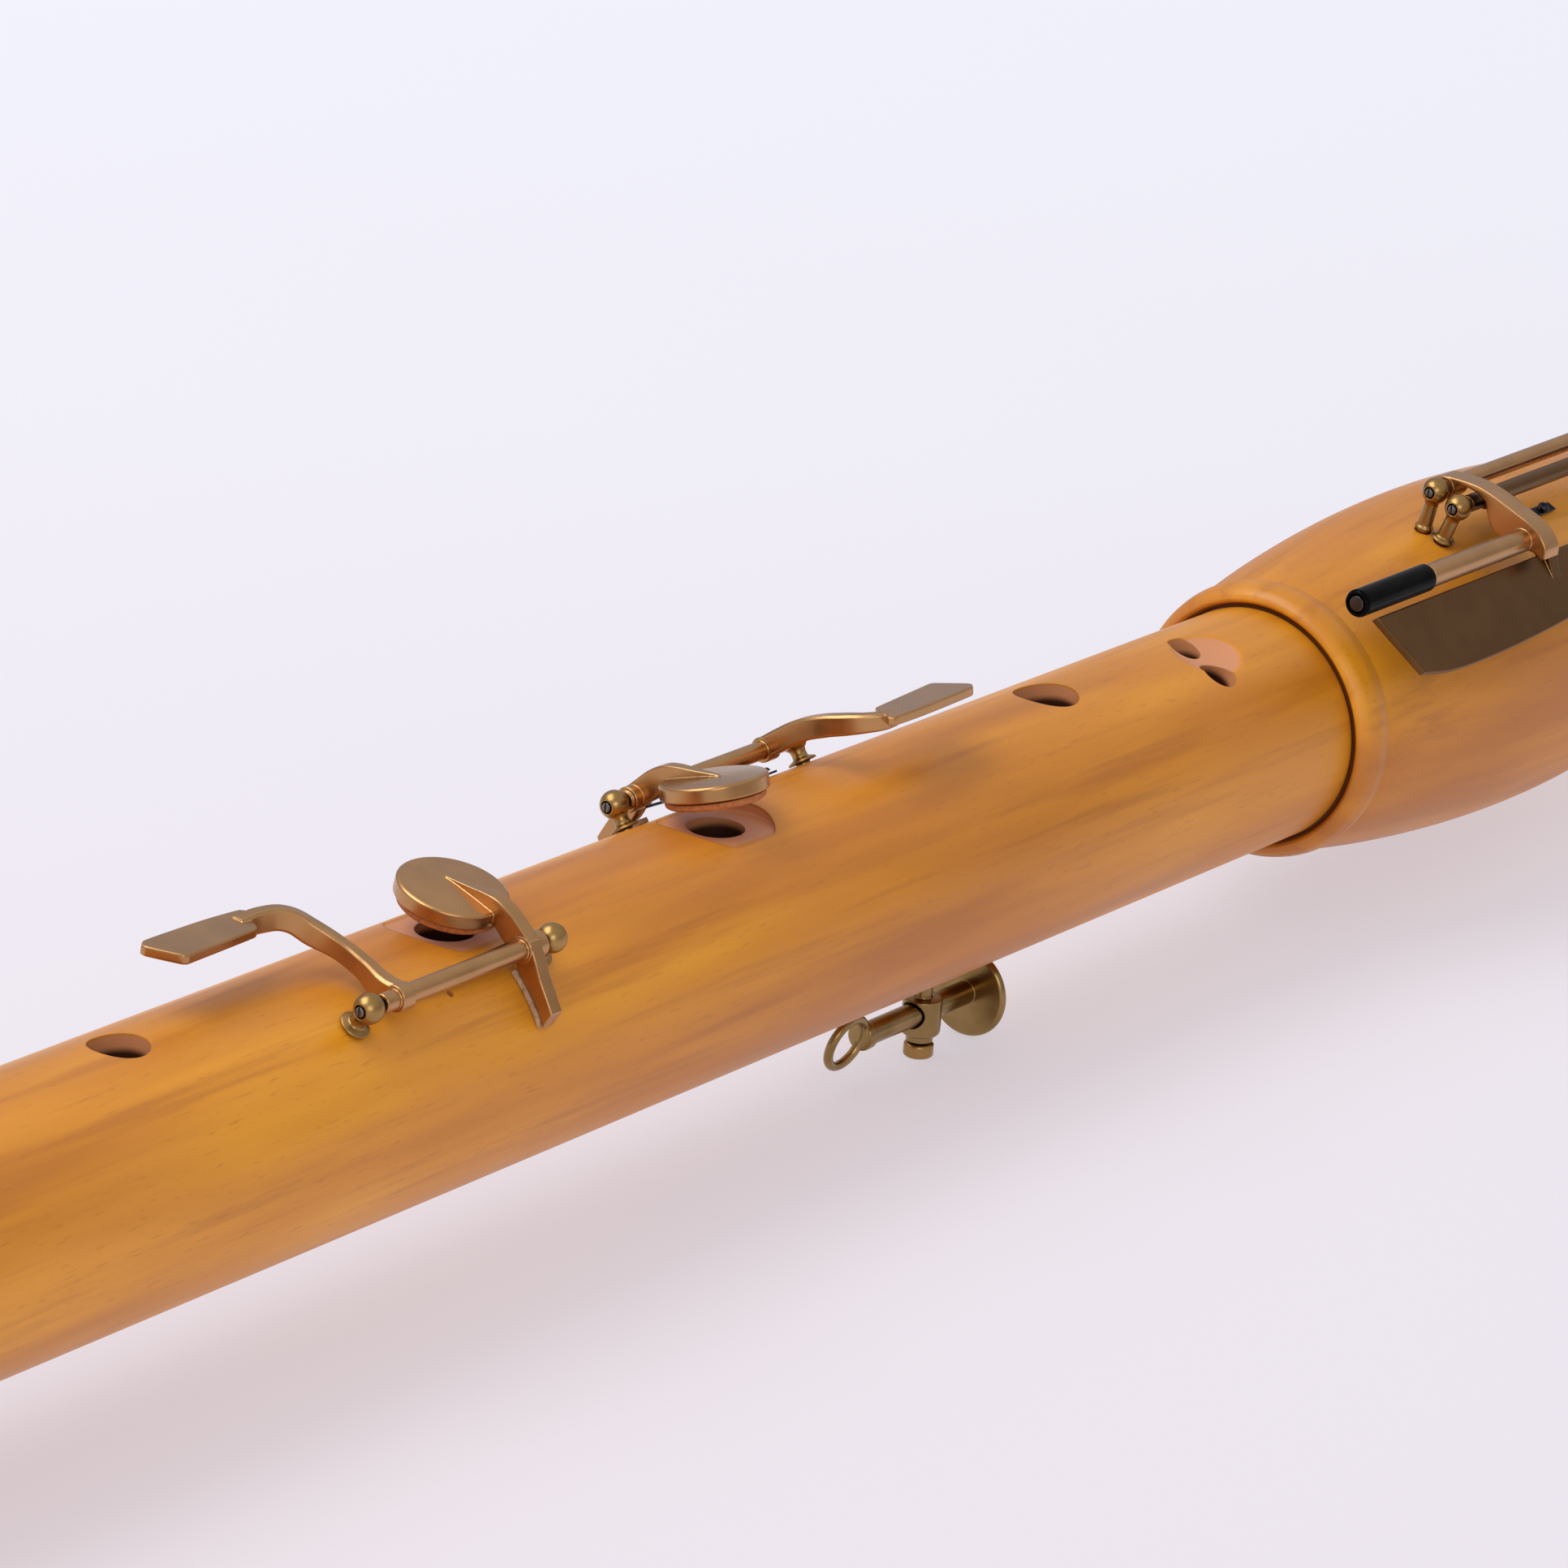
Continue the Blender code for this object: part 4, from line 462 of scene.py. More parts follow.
def upright(along):
    """Return the place of a slab that stands across the instrument, drawn in Y and Z."""
    turn = Matrix(((0, 0, 1, 0), (1, 0, 0, 0), (0, 1, 0, 0), (0, 0, 0, 1)))
    return shifted((along, 0, 0)) @ turn


def sweep(name, points, width, depth, parent, finish=None, scales=()):
    """Return a bar of oblong section that follows the points with its depth kept upright.

    Where scales are given, there is one for each point, and the section is that many times larger.
    """
    half_width, half_depth = width / 2, depth / 2
    ease = min(half_width, half_depth) * 0.3
    corners = []
    for across, up in ((-1, -1), (1, -1), (1, 1), (-1, 1)):
        side = (across * half_width, up * (half_depth - ease))
        end = (across * (half_width - ease), up * half_depth)
        corners += [side, end] if across == up else [end, side]
    section = bpy.data.objects.new("section", straight_curve("section", corners, True))
    CUTTERS.objects.link(section)
    curve = bpy.data.curves.new(name, "CURVE")
    set_up(curve, dimensions="3D", twist_mode="Z_UP", resolution_u=SWEEP_STEPS,
           render_resolution_u=SWEEP_STEPS, bevel_mode="OBJECT", bevel_object=section,
           use_fill_caps=True)
    spline = curve.splines.new("BEZIER")
    spline.bezier_points.add(len(points) - 1)
    for knot, place, scale in zip(spline.bezier_points, points, scales or [1.0] * len(points)):
        set_up(knot, co=place, radius=scale, handle_left_type="AUTO", handle_right_type="AUTO")
    piece = solid_from_curve(name, curve, parent, finish)
    bpy.data.objects.remove(section)
    return piece


def change(piece, operation, tools):
    for tool in tools:
        set_up(piece.modifiers.new(tool.name, "BOOLEAN"), operation=operation, object=tool)


def cut(piece, *tools):
    change(piece, "DIFFERENCE", tools)


def fuse(piece, *tools):
    change(piece, "UNION", tools)


def bore(piece, start, end, radius, parent, sides=SIDES_SMALL):
    """Cut a round hole between two points."""
    cut(piece, cylinder("bore", start, end, radius, parent, sides=sides))


def fuse_slab(lever, outline, thickness, place):
    """Fuse a flat shape to a lever, placed from the lever's own axis."""
    fuse(lever, slab("flat", outline, thickness, lever.parent, place))


def ring_point(rho, angle):
    """Return Y and Z at a distance from the axis, the angle leaning from +Z towards -Y."""
    return -rho * math.sin(math.radians(angle)), rho * math.cos(math.radians(angle))


def ring_outline(points, centre):
    """Return an outline in Y and Z, measured from a centre, of (distance, angle) points."""
    centre = Vector(centre)
    return [tuple(Vector(ring_point(rho, angle)) - centre) for rho, angle in points]


def radial_bore(piece, along, angle, radius, inner, outer, sides=SIDES_PIN):
    """Cut a hole that runs out from the axis of the instrument at an angle."""
    bore(piece, (along, *ring_point(inner, angle)), (along, *ring_point(outer, angle)), radius,
         INSTRUMENT, sides)


def find_axis():
    """Return where the middle of the foot socket's mouth lies in the frame."""
    low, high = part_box("middle_joint")
    middle = (low + high) / 2
    return high.x - SHOULDER - TENON_LENGTH, middle.y, middle.z


SOCKET_RADIUS = TENON_RADIUS + CORK_PROUD + GAP
SOCKET_DEPTH = SHOULDER_INSET + TENON_LENGTH + GAP
SHOULDER = SHOULDER_INSET - GAP
TENON_CORK_START = SHOULDER + (TENON_LENGTH - TENON_CORK_LENGTH) / 2
INSTRUMENT = holder("instrument_axis", None, find_axis())


# Turned outlines shared by the sockets of the head and foot joints

def ease_between(low, high, share):
    """Return a value that leaves low and reaches high without a corner."""
    return low + (high - low) * (0.5 - 0.5 * math.cos(math.pi * share))


def socket_radius(distance, waist_radius=FOOT_WAIST_RADIUS):
    """Return the radius of a socket's swelling, or of its taper to the waist, behind its rim."""
    if distance < BULGE_FROM_SOCKET:
        share = (distance - RIM_LENGTH) / (BULGE_FROM_SOCKET - RIM_LENGTH)
        return NECK_RADIUS + (BULGE_RADIUS - NECK_RADIUS) * math.sin(math.pi / 2 * share) ** 0.8
    share = (distance - BULGE_FROM_SOCKET) / (WAIST_FROM_SOCKET - BULGE_FROM_SOCKET)
    return ease_between(BULGE_RADIUS, waist_radius, share)


def socket_outline(waist_radius):
    """Return (distance, radius) points of the rim, the neck, the swelling and its taper."""
    mouth = BODY_RADIUS + GAP
    points = [(MOUTH_CHAMFER * 0.9, mouth), (0.0, mouth + MOUTH_CHAMFER * 0.9),
              (RIM_LENGTH * 0.06, RIM_RADIUS - 0.0016), (RIM_LENGTH * 0.22, RIM_RADIUS - 0.0006),
              (RIM_LENGTH * 0.58, RIM_RADIUS), (RIM_LENGTH * 0.84, RIM_RADIUS - 0.0003),
              (RIM_LENGTH, NECK_RADIUS)]
    swelling, taper = BULGE_FROM_SOCKET - RIM_LENGTH, WAIST_FROM_SOCKET - BULGE_FROM_SOCKET
    distances = [RIM_LENGTH + swelling * share ** 1.5 for share in shares(36, 1)]
    distances += [BULGE_FROM_SOCKET + taper * share for share in shares(36, 1)]
    return points + [(distance, socket_radius(distance, waist_radius)) for distance in distances]


# Middle joint

def middle_joint():
    """Return the joint that the two hands hold, with its holes bored."""
    tenon_end = SHOULDER + TENON_LENGTH
    cork_end = TENON_CORK_START + TENON_CORK_LENGTH
    groove = TENON_RADIUS - CORK_THICKNESS
    tenon = [(TENON_RADIUS, tenon_end), (TENON_RADIUS, cork_end), (groove, cork_end),
             (groove, TENON_CORK_START), (TENON_RADIUS, TENON_CORK_START),
             (TENON_RADIUS, SHOULDER), (BODY_RADIUS, SHOULDER)]
    top_tenon = [(radius, -MIDDLE_LENGTH - height) for radius, height in reversed(tenon)]
    bored = [(MIDDLE_BORE_TOP, -MIDDLE_LENGTH - tenon_end), (MIDDLE_BORE_FOOT, tenon_end)]
    run = MIDDLE_LENGTH + 2 * SHOULDER
    rings = [(BODY_RADIUS, SHOULDER - run * share) for share in shares(60, 1)[:-1]]
    joint = turned_wood("middle_joint", tenon + rings + top_tenon + bored, INSTRUMENT)
    rise = BODY_RADIUS / 4
    at_surface = math.sqrt(1 - ((rise - SCOOP_DEPTH) / rise) ** 2)
    half_size = (SCOOP_HALF_LENGTH / at_surface, SCOOP_HALF_WIDTH / at_surface, rise, 1.0)
    centre = (-SCOOP_UP, *ring_point(BODY_RADIUS - SCOOP_DEPTH + rise, SCOOP_ANGLE))
    scoop = bmesh.new()
    bmesh.ops.create_uvsphere(scoop, u_segments=72, v_segments=36, radius=1.0, matrix=(
        shifted(centre) @ about_x(SCOOP_ANGLE) @ Matrix.Diagonal(half_size)))
    cut(joint, from_shape("hole_6_scoop", scoop, INSTRUMENT))
    outer = BODY_RADIUS + CUT_PAST_WOOD
    for up_from_foot, angle, radius in (
            (HOLE_1_UP, 0.0, HOLE_1_RADIUS), (HOLE_2_UP, 0.0, HOLE_2_RADIUS),
            (HOLE_5_UP, 0.0, HOLE_5_RADIUS), (THUMB_HOLE_UP, 180.0, THUMB_HOLE_RADIUS),
            (HOLE_6_LARGE_UP, HOLE_6_LARGE_ANGLE, HOLE_6_LARGE),
            (HOLE_6_SMALL_UP, HOLE_6_SMALL_ANGLE, HOLE_6_SMALL),
            (HOLE_3_UP, 0.0, KEYED_HOLE_RADIUS), (HOLE_4_UP, 0.0, KEYED_HOLE_RADIUS)):
        radial_bore(joint, -up_from_foot, angle, radius, MIDDLE_BORE_FOOT * 0.6, outer)
    radial_bore(joint, -SPRING_NOTCH_UP, SPRING_NOTCH_ANGLE, SPRING_NOTCH_RADIUS,
                BODY_RADIUS - 0.0015, outer, 32)
    return joint


def tenon_corks():
    """Wrap each tenon of the middle joint in cork."""
    start = TENON_CORK_START + GAP
    end = start + TENON_CORK_LENGTH - 2 * GAP
    cork_ring("lower_tenon_cork", end, start, TENON_RADIUS, INSTRUMENT)
    cork_ring("upper_tenon_cork", -MIDDLE_LENGTH - start, -MIDDLE_LENGTH - end, TENON_RADIUS,
              INSTRUMENT)


# Foot joint

def foot_joint(parent):
    """Return the foot with its socket, swelling, waist bead and bell."""
    bead = WAIST_FROM_SOCKET + 0.008
    points = socket_outline(FOOT_WAIST_RADIUS)
    points += [(bead - 0.0030, FOOT_WAIST_RADIUS), (bead - 0.0022, FOOT_BEAD_RADIUS - 0.0007),
               (bead, FOOT_BEAD_RADIUS), (bead + 0.0022, FOOT_BEAD_RADIUS - 0.0007),
               (bead + 0.0030, FOOT_WAIST_RADIUS)]
    flare_start, flare_end = bead + 0.008, FOOT_LENGTH - 0.010
    points += [(flare_start + (flare_end - flare_start) * share,
                ease_between(FOOT_WAIST_RADIUS, BELL_RADIUS, share)) for share in shares(24)]
    points += [(FOOT_LENGTH - 0.0015, BELL_RADIUS - 0.0004), (FOOT_LENGTH, BELL_RADIUS - 0.0020),
               (FOOT_LENGTH, FOOT_BORE_RADIUS), (SOCKET_DEPTH, FOOT_BORE_RADIUS),
               (SOCKET_DEPTH, SOCKET_RADIUS), (SHOULDER_INSET, SOCKET_RADIUS),
               (SHOULDER_INSET, BODY_RADIUS + GAP)]
    return turned_wood("foot_joint", [(radius, distance) for distance, radius in reversed(points)],
                       parent)


# Head joint, block, cap and crook

HEAD_END = HEAD_LENGTH + CAP_TENON_LENGTH
CAP_CORK_START, CAP_CORK_END = HEAD_LENGTH + 0.004, HEAD_END - 0.004
BLOCK_FACE = -(HEAD_END - BLOCK_LENGTH)


def head_joint(parent):
    """Build the head, measured as distances from its socket towards the cap."""
    points = socket_outline(HEAD_STEM_RADIUS)
    collar = HEAD_LENGTH - 0.007
    points += [(collar, HEAD_STEM_RADIUS), (collar + 0.0008, HEAD_STEM_RADIUS + 0.0009),
               (collar + 0.0030, HEAD_STEM_RADIUS + 0.0012),
               (collar + 0.0052, HEAD_STEM_RADIUS + 0.0009), (collar + 0.0060, HEAD_STEM_RADIUS),
               (HEAD_LENGTH, HEAD_STEM_RADIUS - 0.0003)]
    groove = CAP_TENON_RADIUS - CORK_THICKNESS
    points += [(HEAD_LENGTH, CAP_TENON_RADIUS), (CAP_CORK_START, CAP_TENON_RADIUS),
               (CAP_CORK_START, groove), (CAP_CORK_END, groove), (CAP_CORK_END, CAP_TENON_RADIUS),
               (HEAD_END, CAP_TENON_RADIUS), (HEAD_END, HEAD_BORE_RADIUS),
               (SOCKET_DEPTH, HEAD_BORE_RADIUS), (SOCKET_DEPTH, SOCKET_RADIUS),
               (SHOULDER_INSET, SOCKET_RADIUS), (SHOULDER_INSET, BODY_RADIUS + GAP)]
    head = turned_wood("head_joint", [(radius, -distance) for distance, radius in points], parent)
    edge = BLOCK_FACE + WINDOW_LENGTH
    floor = WINDWAY_FLOOR - CUT_PAST
    outside = HEAD_STEM_RADIUS + CUT_PAST
    window = [(BLOCK_FACE, floor), (edge, floor), (edge, HEAD_BORE_RADIUS + LABIUM_EDGE),
              (edge + LABIUM_RAMP, outside), (BLOCK_FACE, outside)]
    cut(head, slab("window", window, WINDOW_WIDTH, parent, about_x(90.0), edge=0.0))
    half = WINDWAY_WIDTH / 2
    cut(head, box("windway", (-HEAD_END - 0.001, -half, WINDWAY_FLOOR),
                  (BLOCK_FACE + 0.001, half, HEAD_BORE_RADIUS + 0.0005), parent))


def fipple_block(parent):
    """Build the block that floors the windway, cut flat along its top."""
    radius = HEAD_BORE_RADIUS - GAP
    start, end = -HEAD_END + GAP, BLOCK_FACE - GAP
    block = cylinder("fipple_block", (start, 0, 0), (end, 0, 0), radius, parent, "cedar", SIDES_BORE)
    cut(block, box("block_top", (start - 0.001, -radius, WINDWAY_FLOOR - 0.0006),
                   (end + 0.001, radius, radius + CUT_PAST), parent))


def cap(parent):
    """Build the wooden cap, measured as distances from its rim, with the crook's hole."""
    socket = CAP_TENON_RADIUS + CORK_PROUD + GAP
    fullest = CAP_LENGTH * 0.45
    floor = CAP_TENON_LENGTH + GAP
    roof = floor + CAP_CHAMBER_DEPTH
    hole = CROOK_CORK_RADIUS + GAP
    rim = HEAD_STEM_RADIUS + 0.0016
    points = [(0.0, rim - 0.0010), (0.0009, rim), (0.0045, rim + 0.0003), (0.0080, rim),
              (0.0092, rim - 0.0008)]
    points += [(0.0092 + (fullest - 0.0092) * share,
                rim - 0.0008 + (CAP_RADIUS - rim + 0.0008) * math.sin(math.pi / 2 * share))
               for share in shares(28, 1)]
    points += [(fullest + (CAP_LENGTH - 0.003 - fullest) * math.sin(math.pi / 2 * share),
                CAP_TOP_RADIUS + (CAP_RADIUS - CAP_TOP_RADIUS) * math.cos(math.pi / 2 * share))
               for share in shares(28, 1)]
    points += [(CAP_LENGTH, CAP_TOP_RADIUS - 0.0008), (CAP_LENGTH, hole), (roof, hole),
               (roof, HEAD_BORE_RADIUS + 0.001), (floor, HEAD_BORE_RADIUS + 0.001),
               (floor, socket), (0.0, socket)]
    turned_wood("cap", [(radius, -HEAD_LENGTH - GAP - distance) for distance, radius in points],
                parent)


def crook(parent):
    """Build the bent brass crook, its plane turned down about the axis of the instrument."""
    top = -(HEAD_LENGTH + CAP_LENGTH)
    start, bend_start = top + CROOK_CORK_LENGTH, top - CROOK_STEM
    heading = math.radians(CROOK_BEND_ANGLE)
    route = [(start, 0.0), (bend_start, 0.0)]
    route += [(bend_start - CROOK_BEND_RADIUS * math.sin(heading * share),
               CROOK_BEND_RADIUS * (1 - math.cos(heading * share))) for share in shares(56, 1)]
    along, side = route[-1]
    route.append((along - CROOK_TAIL * math.cos(heading), side + CROOK_TAIL * math.sin(heading)))
    droop = math.radians(CROOK_DROOP)
    places = [Vector((along, side * math.cos(droop), -side * math.sin(droop)))
              for along, side in route]

    def tube(name, radius, points, finish=None):
        curve = straight_curve(name, points, bevel_depth=radius, bevel_resolution=12,
                               use_fill_caps=True)
        return solid_from_curve(name, curve, parent, finish)

    pipe = tube("crook", CROOK_RADIUS, places, "brass")
    past_end = (places[-1] - places[-2]).normalized() * CUT_PAST
    cut(pipe, tube("crook_bore", CROOK_BORE_RADIUS, [
        places[0] + Vector((CUT_PAST, 0, 0)), *places[1:-1], places[-1] + past_end]))
    inner = CROOK_RADIUS + GAP
    lathe("crook_cork", [(CROOK_CORK_RADIUS, start), (CROOK_CORK_RADIUS, top - GAP),
                         (inner, top - GAP), (inner, start)], parent, "cork", SIDES_PIN, "X")


# Hinge pieces that every key has

def post(name, along, angle, rho, wood_radius, wood, parent, flange=POST_FLANGE_RADIUS):
    """Stand a ball-headed post on the wood, and bore the wood for its shank."""
    carrier = holder(name + "_frame", parent, (along, 0, 0), about_x(angle))
    foot = wood_radius + GAP * 1.2
    flange_top = foot + POST_FLANGE_HEIGHT
    profile = [(0.0, rho + BALL_RADIUS)]
    first, last = 82.0, -54.0
    for share in shares(28):
        lift = math.radians(first + (last - first) * share)
        profile.append((BALL_RADIUS * math.cos(lift), rho + BALL_RADIUS * math.sin(lift)))
    waist = max(flange_top + 0.0003, rho - BALL_RADIUS * 1.05)
    profile += [(POST_NECK_RADIUS * 0.95, waist), (POST_NECK_RADIUS, flange_top),
                (flange, foot + POST_FLANGE_HEIGHT * 0.4), (flange, foot),
                (POST_SHANK_RADIUS, foot), (POST_SHANK_RADIUS, foot - POST_SHANK_LENGTH),
                (0.0, foot - POST_SHANK_LENGTH)]
    piece = lathe(name, profile, carrier, "brass")
    reach = BALL_RADIUS + CUT_PAST
    bore(piece, (-reach, 0, rho), (reach, 0, rho), ROD_RADIUS + GAP, carrier)
    bore(wood, (0, 0, wood_radius - POST_SHANK_LENGTH), (0, 0, wood_radius + CUT_PAST_SHANK),
         POST_SHANK_RADIUS + GAP, carrier)


def hinge_rod(name, start, end, axis, parent):
    """Build the steel rod that a key turns on, slotted at both ends."""
    across, up = axis
    rod = cylinder(name, (start, across, up), (end, across, up), ROD_RADIUS, parent, "steel")
    half, height = SLOT_WIDTH / 2, ROD_RADIUS * 1.5
    for place in (start, end):
        cut(rod, box("slot", (place - SLOT_DEPTH, across - half, up - height),
                     (place + SLOT_DEPTH, across + half, up + height), parent))


def key_tube(name, start, end, hubs, pivot):
    """Return the tube of a key, with a thicker hub fused on wherever an arm leaves it."""
    lever = cylinder(name + "_lever", (start, 0, 0), (end, 0, 0), TUBE_RADIUS, pivot, "bronze")
    for low, high in hubs:
        fuse(lever, cylinder("hub", (low, 0, 0), (high, 0, 0), HUB_RADIUS, pivot))
    return lever


def leaf_spring(name, angle, route, screw_along, wood, parent):
    """Lay a flat spring from its screw on the wood up to the arm that it lifts."""
    carrier = holder(name + "_frame", parent, turn=about_x(angle))
    points = [(along, 0.0, rho) for along, rho in route]
    leaf = sweep(name, points, LEAF_WIDTH, LEAF_THICKNESS, carrier, "blued")
    base = route[0][1]
    eye = LEAF_SCREW_SHANK + GAP
    above = (screw_along, 0, base + CUT_PAST)
    bore(leaf, (screw_along, 0, base - CUT_PAST), above, eye, carrier)
    seat = base + LEAF_THICKNESS / 2 + GAP
    depth = base - LEAF_THICKNESS / 2 - LEAF_SCREW_LENGTH
    lathe(name + "_screw", [(0.0, seat + 0.0007), (LEAF_SCREW_RADIUS * 0.7, seat + 0.0006),
                            (LEAF_SCREW_RADIUS, seat + 0.0002), (LEAF_SCREW_RADIUS, seat),
                            (LEAF_SCREW_SHANK, seat), (LEAF_SCREW_SHANK, depth), (0.0, depth)],
          carrier, "blued", matrix=shifted((screw_along, 0, 0)))
    bore(wood, (screw_along, 0, depth - GAP), above, eye, carrier)


def cup_and_pad(name, matrix, top, lever):
    """Fuse a key cup to its lever and hang the leather pad under it."""
    rim = 0.0004
    bottom = top - CUP_THICKNESS
    fuse(lever, lathe("cup", [(0.0, top + 0.0003), (CUP_RADIUS * 0.6, top + 0.0001),
                              (CUP_RADIUS - rim, top - 0.0001), (CUP_RADIUS, top - rim),
                              (CUP_RADIUS, bottom), (0.0, bottom)],
                      lever.parent, None, SIDES_DISC, matrix=matrix))
    pad_top, pad_low = bottom - GAP, bottom - PAD_THICKNESS
    lathe(name + "_pad", [(0.0, pad_top), (PAD_RADIUS, pad_top), (PAD_RADIUS, pad_low + 0.0004),
                          (PAD_RADIUS - 0.0005, pad_low), (0.0, pad_low)],
          lever.parent, "leather", SIDES_DISC, matrix=matrix)


# Keys over holes 3 and 4

def middle_key(name, head_sign, hole_up, span, touch_place, neck_shape, open_angle, wood):
    """Build one of the two keys that cover a hole; head_sign is 1 with its touch headwards."""
    touch_shift, touch_tilt, touch_rise = touch_place
    angle = HINGE_ANGLE * head_sign
    rho = BODY_RADIUS + HINGE_HEIGHT
    hinge = ring_point(rho, angle)
    cup_along = span - CUP_FROM_POST
    ball_along = -hole_up - cup_along * head_sign
    turned = UNTURNED if head_sign > 0 else Matrix.Rotation(math.pi, 4, "Z")
    base = holder(name + "_base", INSTRUMENT, (ball_along, *hinge), turned)
    post(name + "_touch_post", ball_along, angle, rho, BODY_RADIUS, wood, INSTRUMENT)
    post(name + "_cup_post", ball_along + span * head_sign, angle, rho, BODY_RADIUS, wood,
         INSTRUMENT)
    hinge_rod(name + "_hinge_rod", -BALL_RADIUS, span + BALL_RADIUS, (0.0, 0.0), base)

    pivot = holder(name + "_pivot", base, turn=about_x(open_angle - DRAWN_OPEN))
    start, end = BALL_RADIUS + GAP, span - BALL_RADIUS - GAP
    cup_arm_x = span - CUP_ARM_FROM_POST
    half = BAR_THICKNESS / 2 + HUB_MARGIN
    lever = key_tube(name, start, end, ((TOUCH_ARM_ALONG - half, TOUCH_ARM_ALONG + half),
                                        (cup_arm_x - half, end - HUB_FROM_BALL)), pivot)
    touch = [(-0.0197, 0.0149), (-0.0030, 0.0165), (-0.0016, 0.0178), (-0.0006, 0.0196),
             (0.0014, 0.0222), (0.0004, 0.0230), (-0.0060, 0.0232), (-0.0125, 0.0230),
             (-0.0210, 0.0225), (-0.0226, 0.0215), (-0.0227, 0.0205), (-0.0205, 0.0155)]
    drop = TOUCH_THICKNESS / 2 + TOUCH_MIDDLE * math.tan(math.radians(touch_tilt))
    level = shifted((touch_shift - TOUCH_BACK, 0, TOUCH_LEVEL - drop))
    rise = Matrix.Rotation(math.radians(touch_rise), 4, "Y")
    fuse_slab(lever, touch, TOUCH_THICKNESS, level @ rise @ about_x(touch_tilt))
    route = [(0.0, 0.0202), (0.32, 0.0197), (0.61, 0.0178), (0.82, 0.0148), (0.95, 0.0110),
             (0.99, 0.0070), (1.0, 0.0030), (1.0, 0.0)]
    neck_start = touch_shift - NECK_BACK
    neck = [(neck_start + (TOUCH_ARM_ALONG - neck_start) * share, across, up)
            for (share, across), (up, _) in zip(route, neck_shape)]
    fuse(lever, sweep("neck", neck, BAR_THICKNESS, BAR_DEPTH, pivot,
                      scales=[depth / BAR_DEPTH for _, depth in neck_shape]))

    closed = about_x(DRAWN_OPEN)
    cup_middle = -hinge[0] * head_sign
    rib_end = cup_middle + RIB_REACH
    arm = [(-0.0012, 0.0018), (0.0010, 0.0030), (0.0035, 0.0043), (0.0062, 0.0051),
           (0.0085, 0.0050), (0.0120, 0.0043), (rib_end, CUP_TOP + 0.0004),
           (rib_end + 0.0002, CUP_TOP - 0.0008), (0.0070, CUP_TOP - 0.0016),
           (0.0055, 0.0008), (0.0030, -0.0007), (0.0, -0.0018)]
    fuse_slab(lever, arm, BAR_THICKNESS, closed @ upright(cup_arm_x))
    rim = cup_middle - CUP_RADIUS + RIB_CUT_MARGIN
    past_tip = rib_end + RIB_CUT_MARGIN
    for way in (1, -1):
        spare = [(BAR_THICKNESS / 2 * way, rim), (RIB_CUT_REACH * way, rim),
                 (RIB_CUT_REACH * way, past_tip), (RIB_TIP / 2 * way, past_tip),
                 (RIB_TIP / 2 * way, rib_end)]
        cut(lever, slab("rib_side", spare, RIB_CUT_HEIGHT, pivot,
                        closed @ shifted((cup_arm_x, 0, RIB_CUT_HEIGHT / 2)), edge=0.0))
    cup_and_pad(name, closed @ shifted((cup_along, cup_middle, 0)), CUP_TOP, lever)

    lean = angle * head_sign
    cork_rho = BODY_RADIUS + GAP
    cork_top = cork_rho + STOP_CORK_THICKNESS
    low = cork_top + GAP
    centre = ring_point(rho, lean)
    tail = ring_outline([(rho + 0.0022, lean + 0.5), (rho + 0.0010, lean + 6.5),
                         (rho - 0.0001, lean + 13), (rho - 0.0005, lean + 19.5),
                         (rho - 0.0006, lean + 25), (low, lean + 29), (low, lean + 22),
                         (low, lean + 15), (rho - 0.0030, lean + 6), (rho - 0.0018, lean - 1)],
                        centre)
    at_tail = about_x(DRAWN_OPEN - open_angle) @ upright(cup_arm_x)
    fuse_slab(lever, tail, BAR_THICKNESS, at_tail)
    bore(lever, (0, 0, 0), (span, 0, 0), ROD_RADIUS + GAP, pivot)
    length = math.degrees(STOP_CORK_LENGTH / cork_rho)
    angles = [lean + STOP_CORK_END - length * (1 - share) for share in shares(3)]
    stop = [(cork_rho, place) for place in angles]
    stop += [(cork_top, place) for place in reversed(angles)]
    slab(name + "_stop_cork", ring_outline(stop, centre), BAR_THICKNESS * 0.9, pivot, at_tail,
         "cork", 0.0)

    seat = hinge[1] + CUP_TOP - CUP_THICKNESS - PAD_THICKNESS - GAP
    bore(wood, (-hole_up, 0, seat), (-hole_up, 0, BODY_RADIUS + CUT_PAST_WOOD), SEAT_RADIUS, INSTRUMENT,
         SIDES_SEAT)
    leaf_base = BODY_RADIUS + GAP + LEAF_THICKNESS / 2
    leaf_end = rho - LEAF_BELOW_HINGE
    route = [(ball_along + place * head_sign, height) for place, height in (
        (LEAF_START, leaf_base), (LEAF_FLAT_END, leaf_base),
        (LEAF_BEND, (leaf_base + leaf_end) / 2), (cup_arm_x + LEAF_PAST_ARM, leaf_end))]
    leaf_spring(name + "_spring", angle - LEAF_LEAN * head_sign, route,
                ball_along + LEAF_SCREW_ALONG * head_sign, wood, INSTRUMENT)


# Foot keys

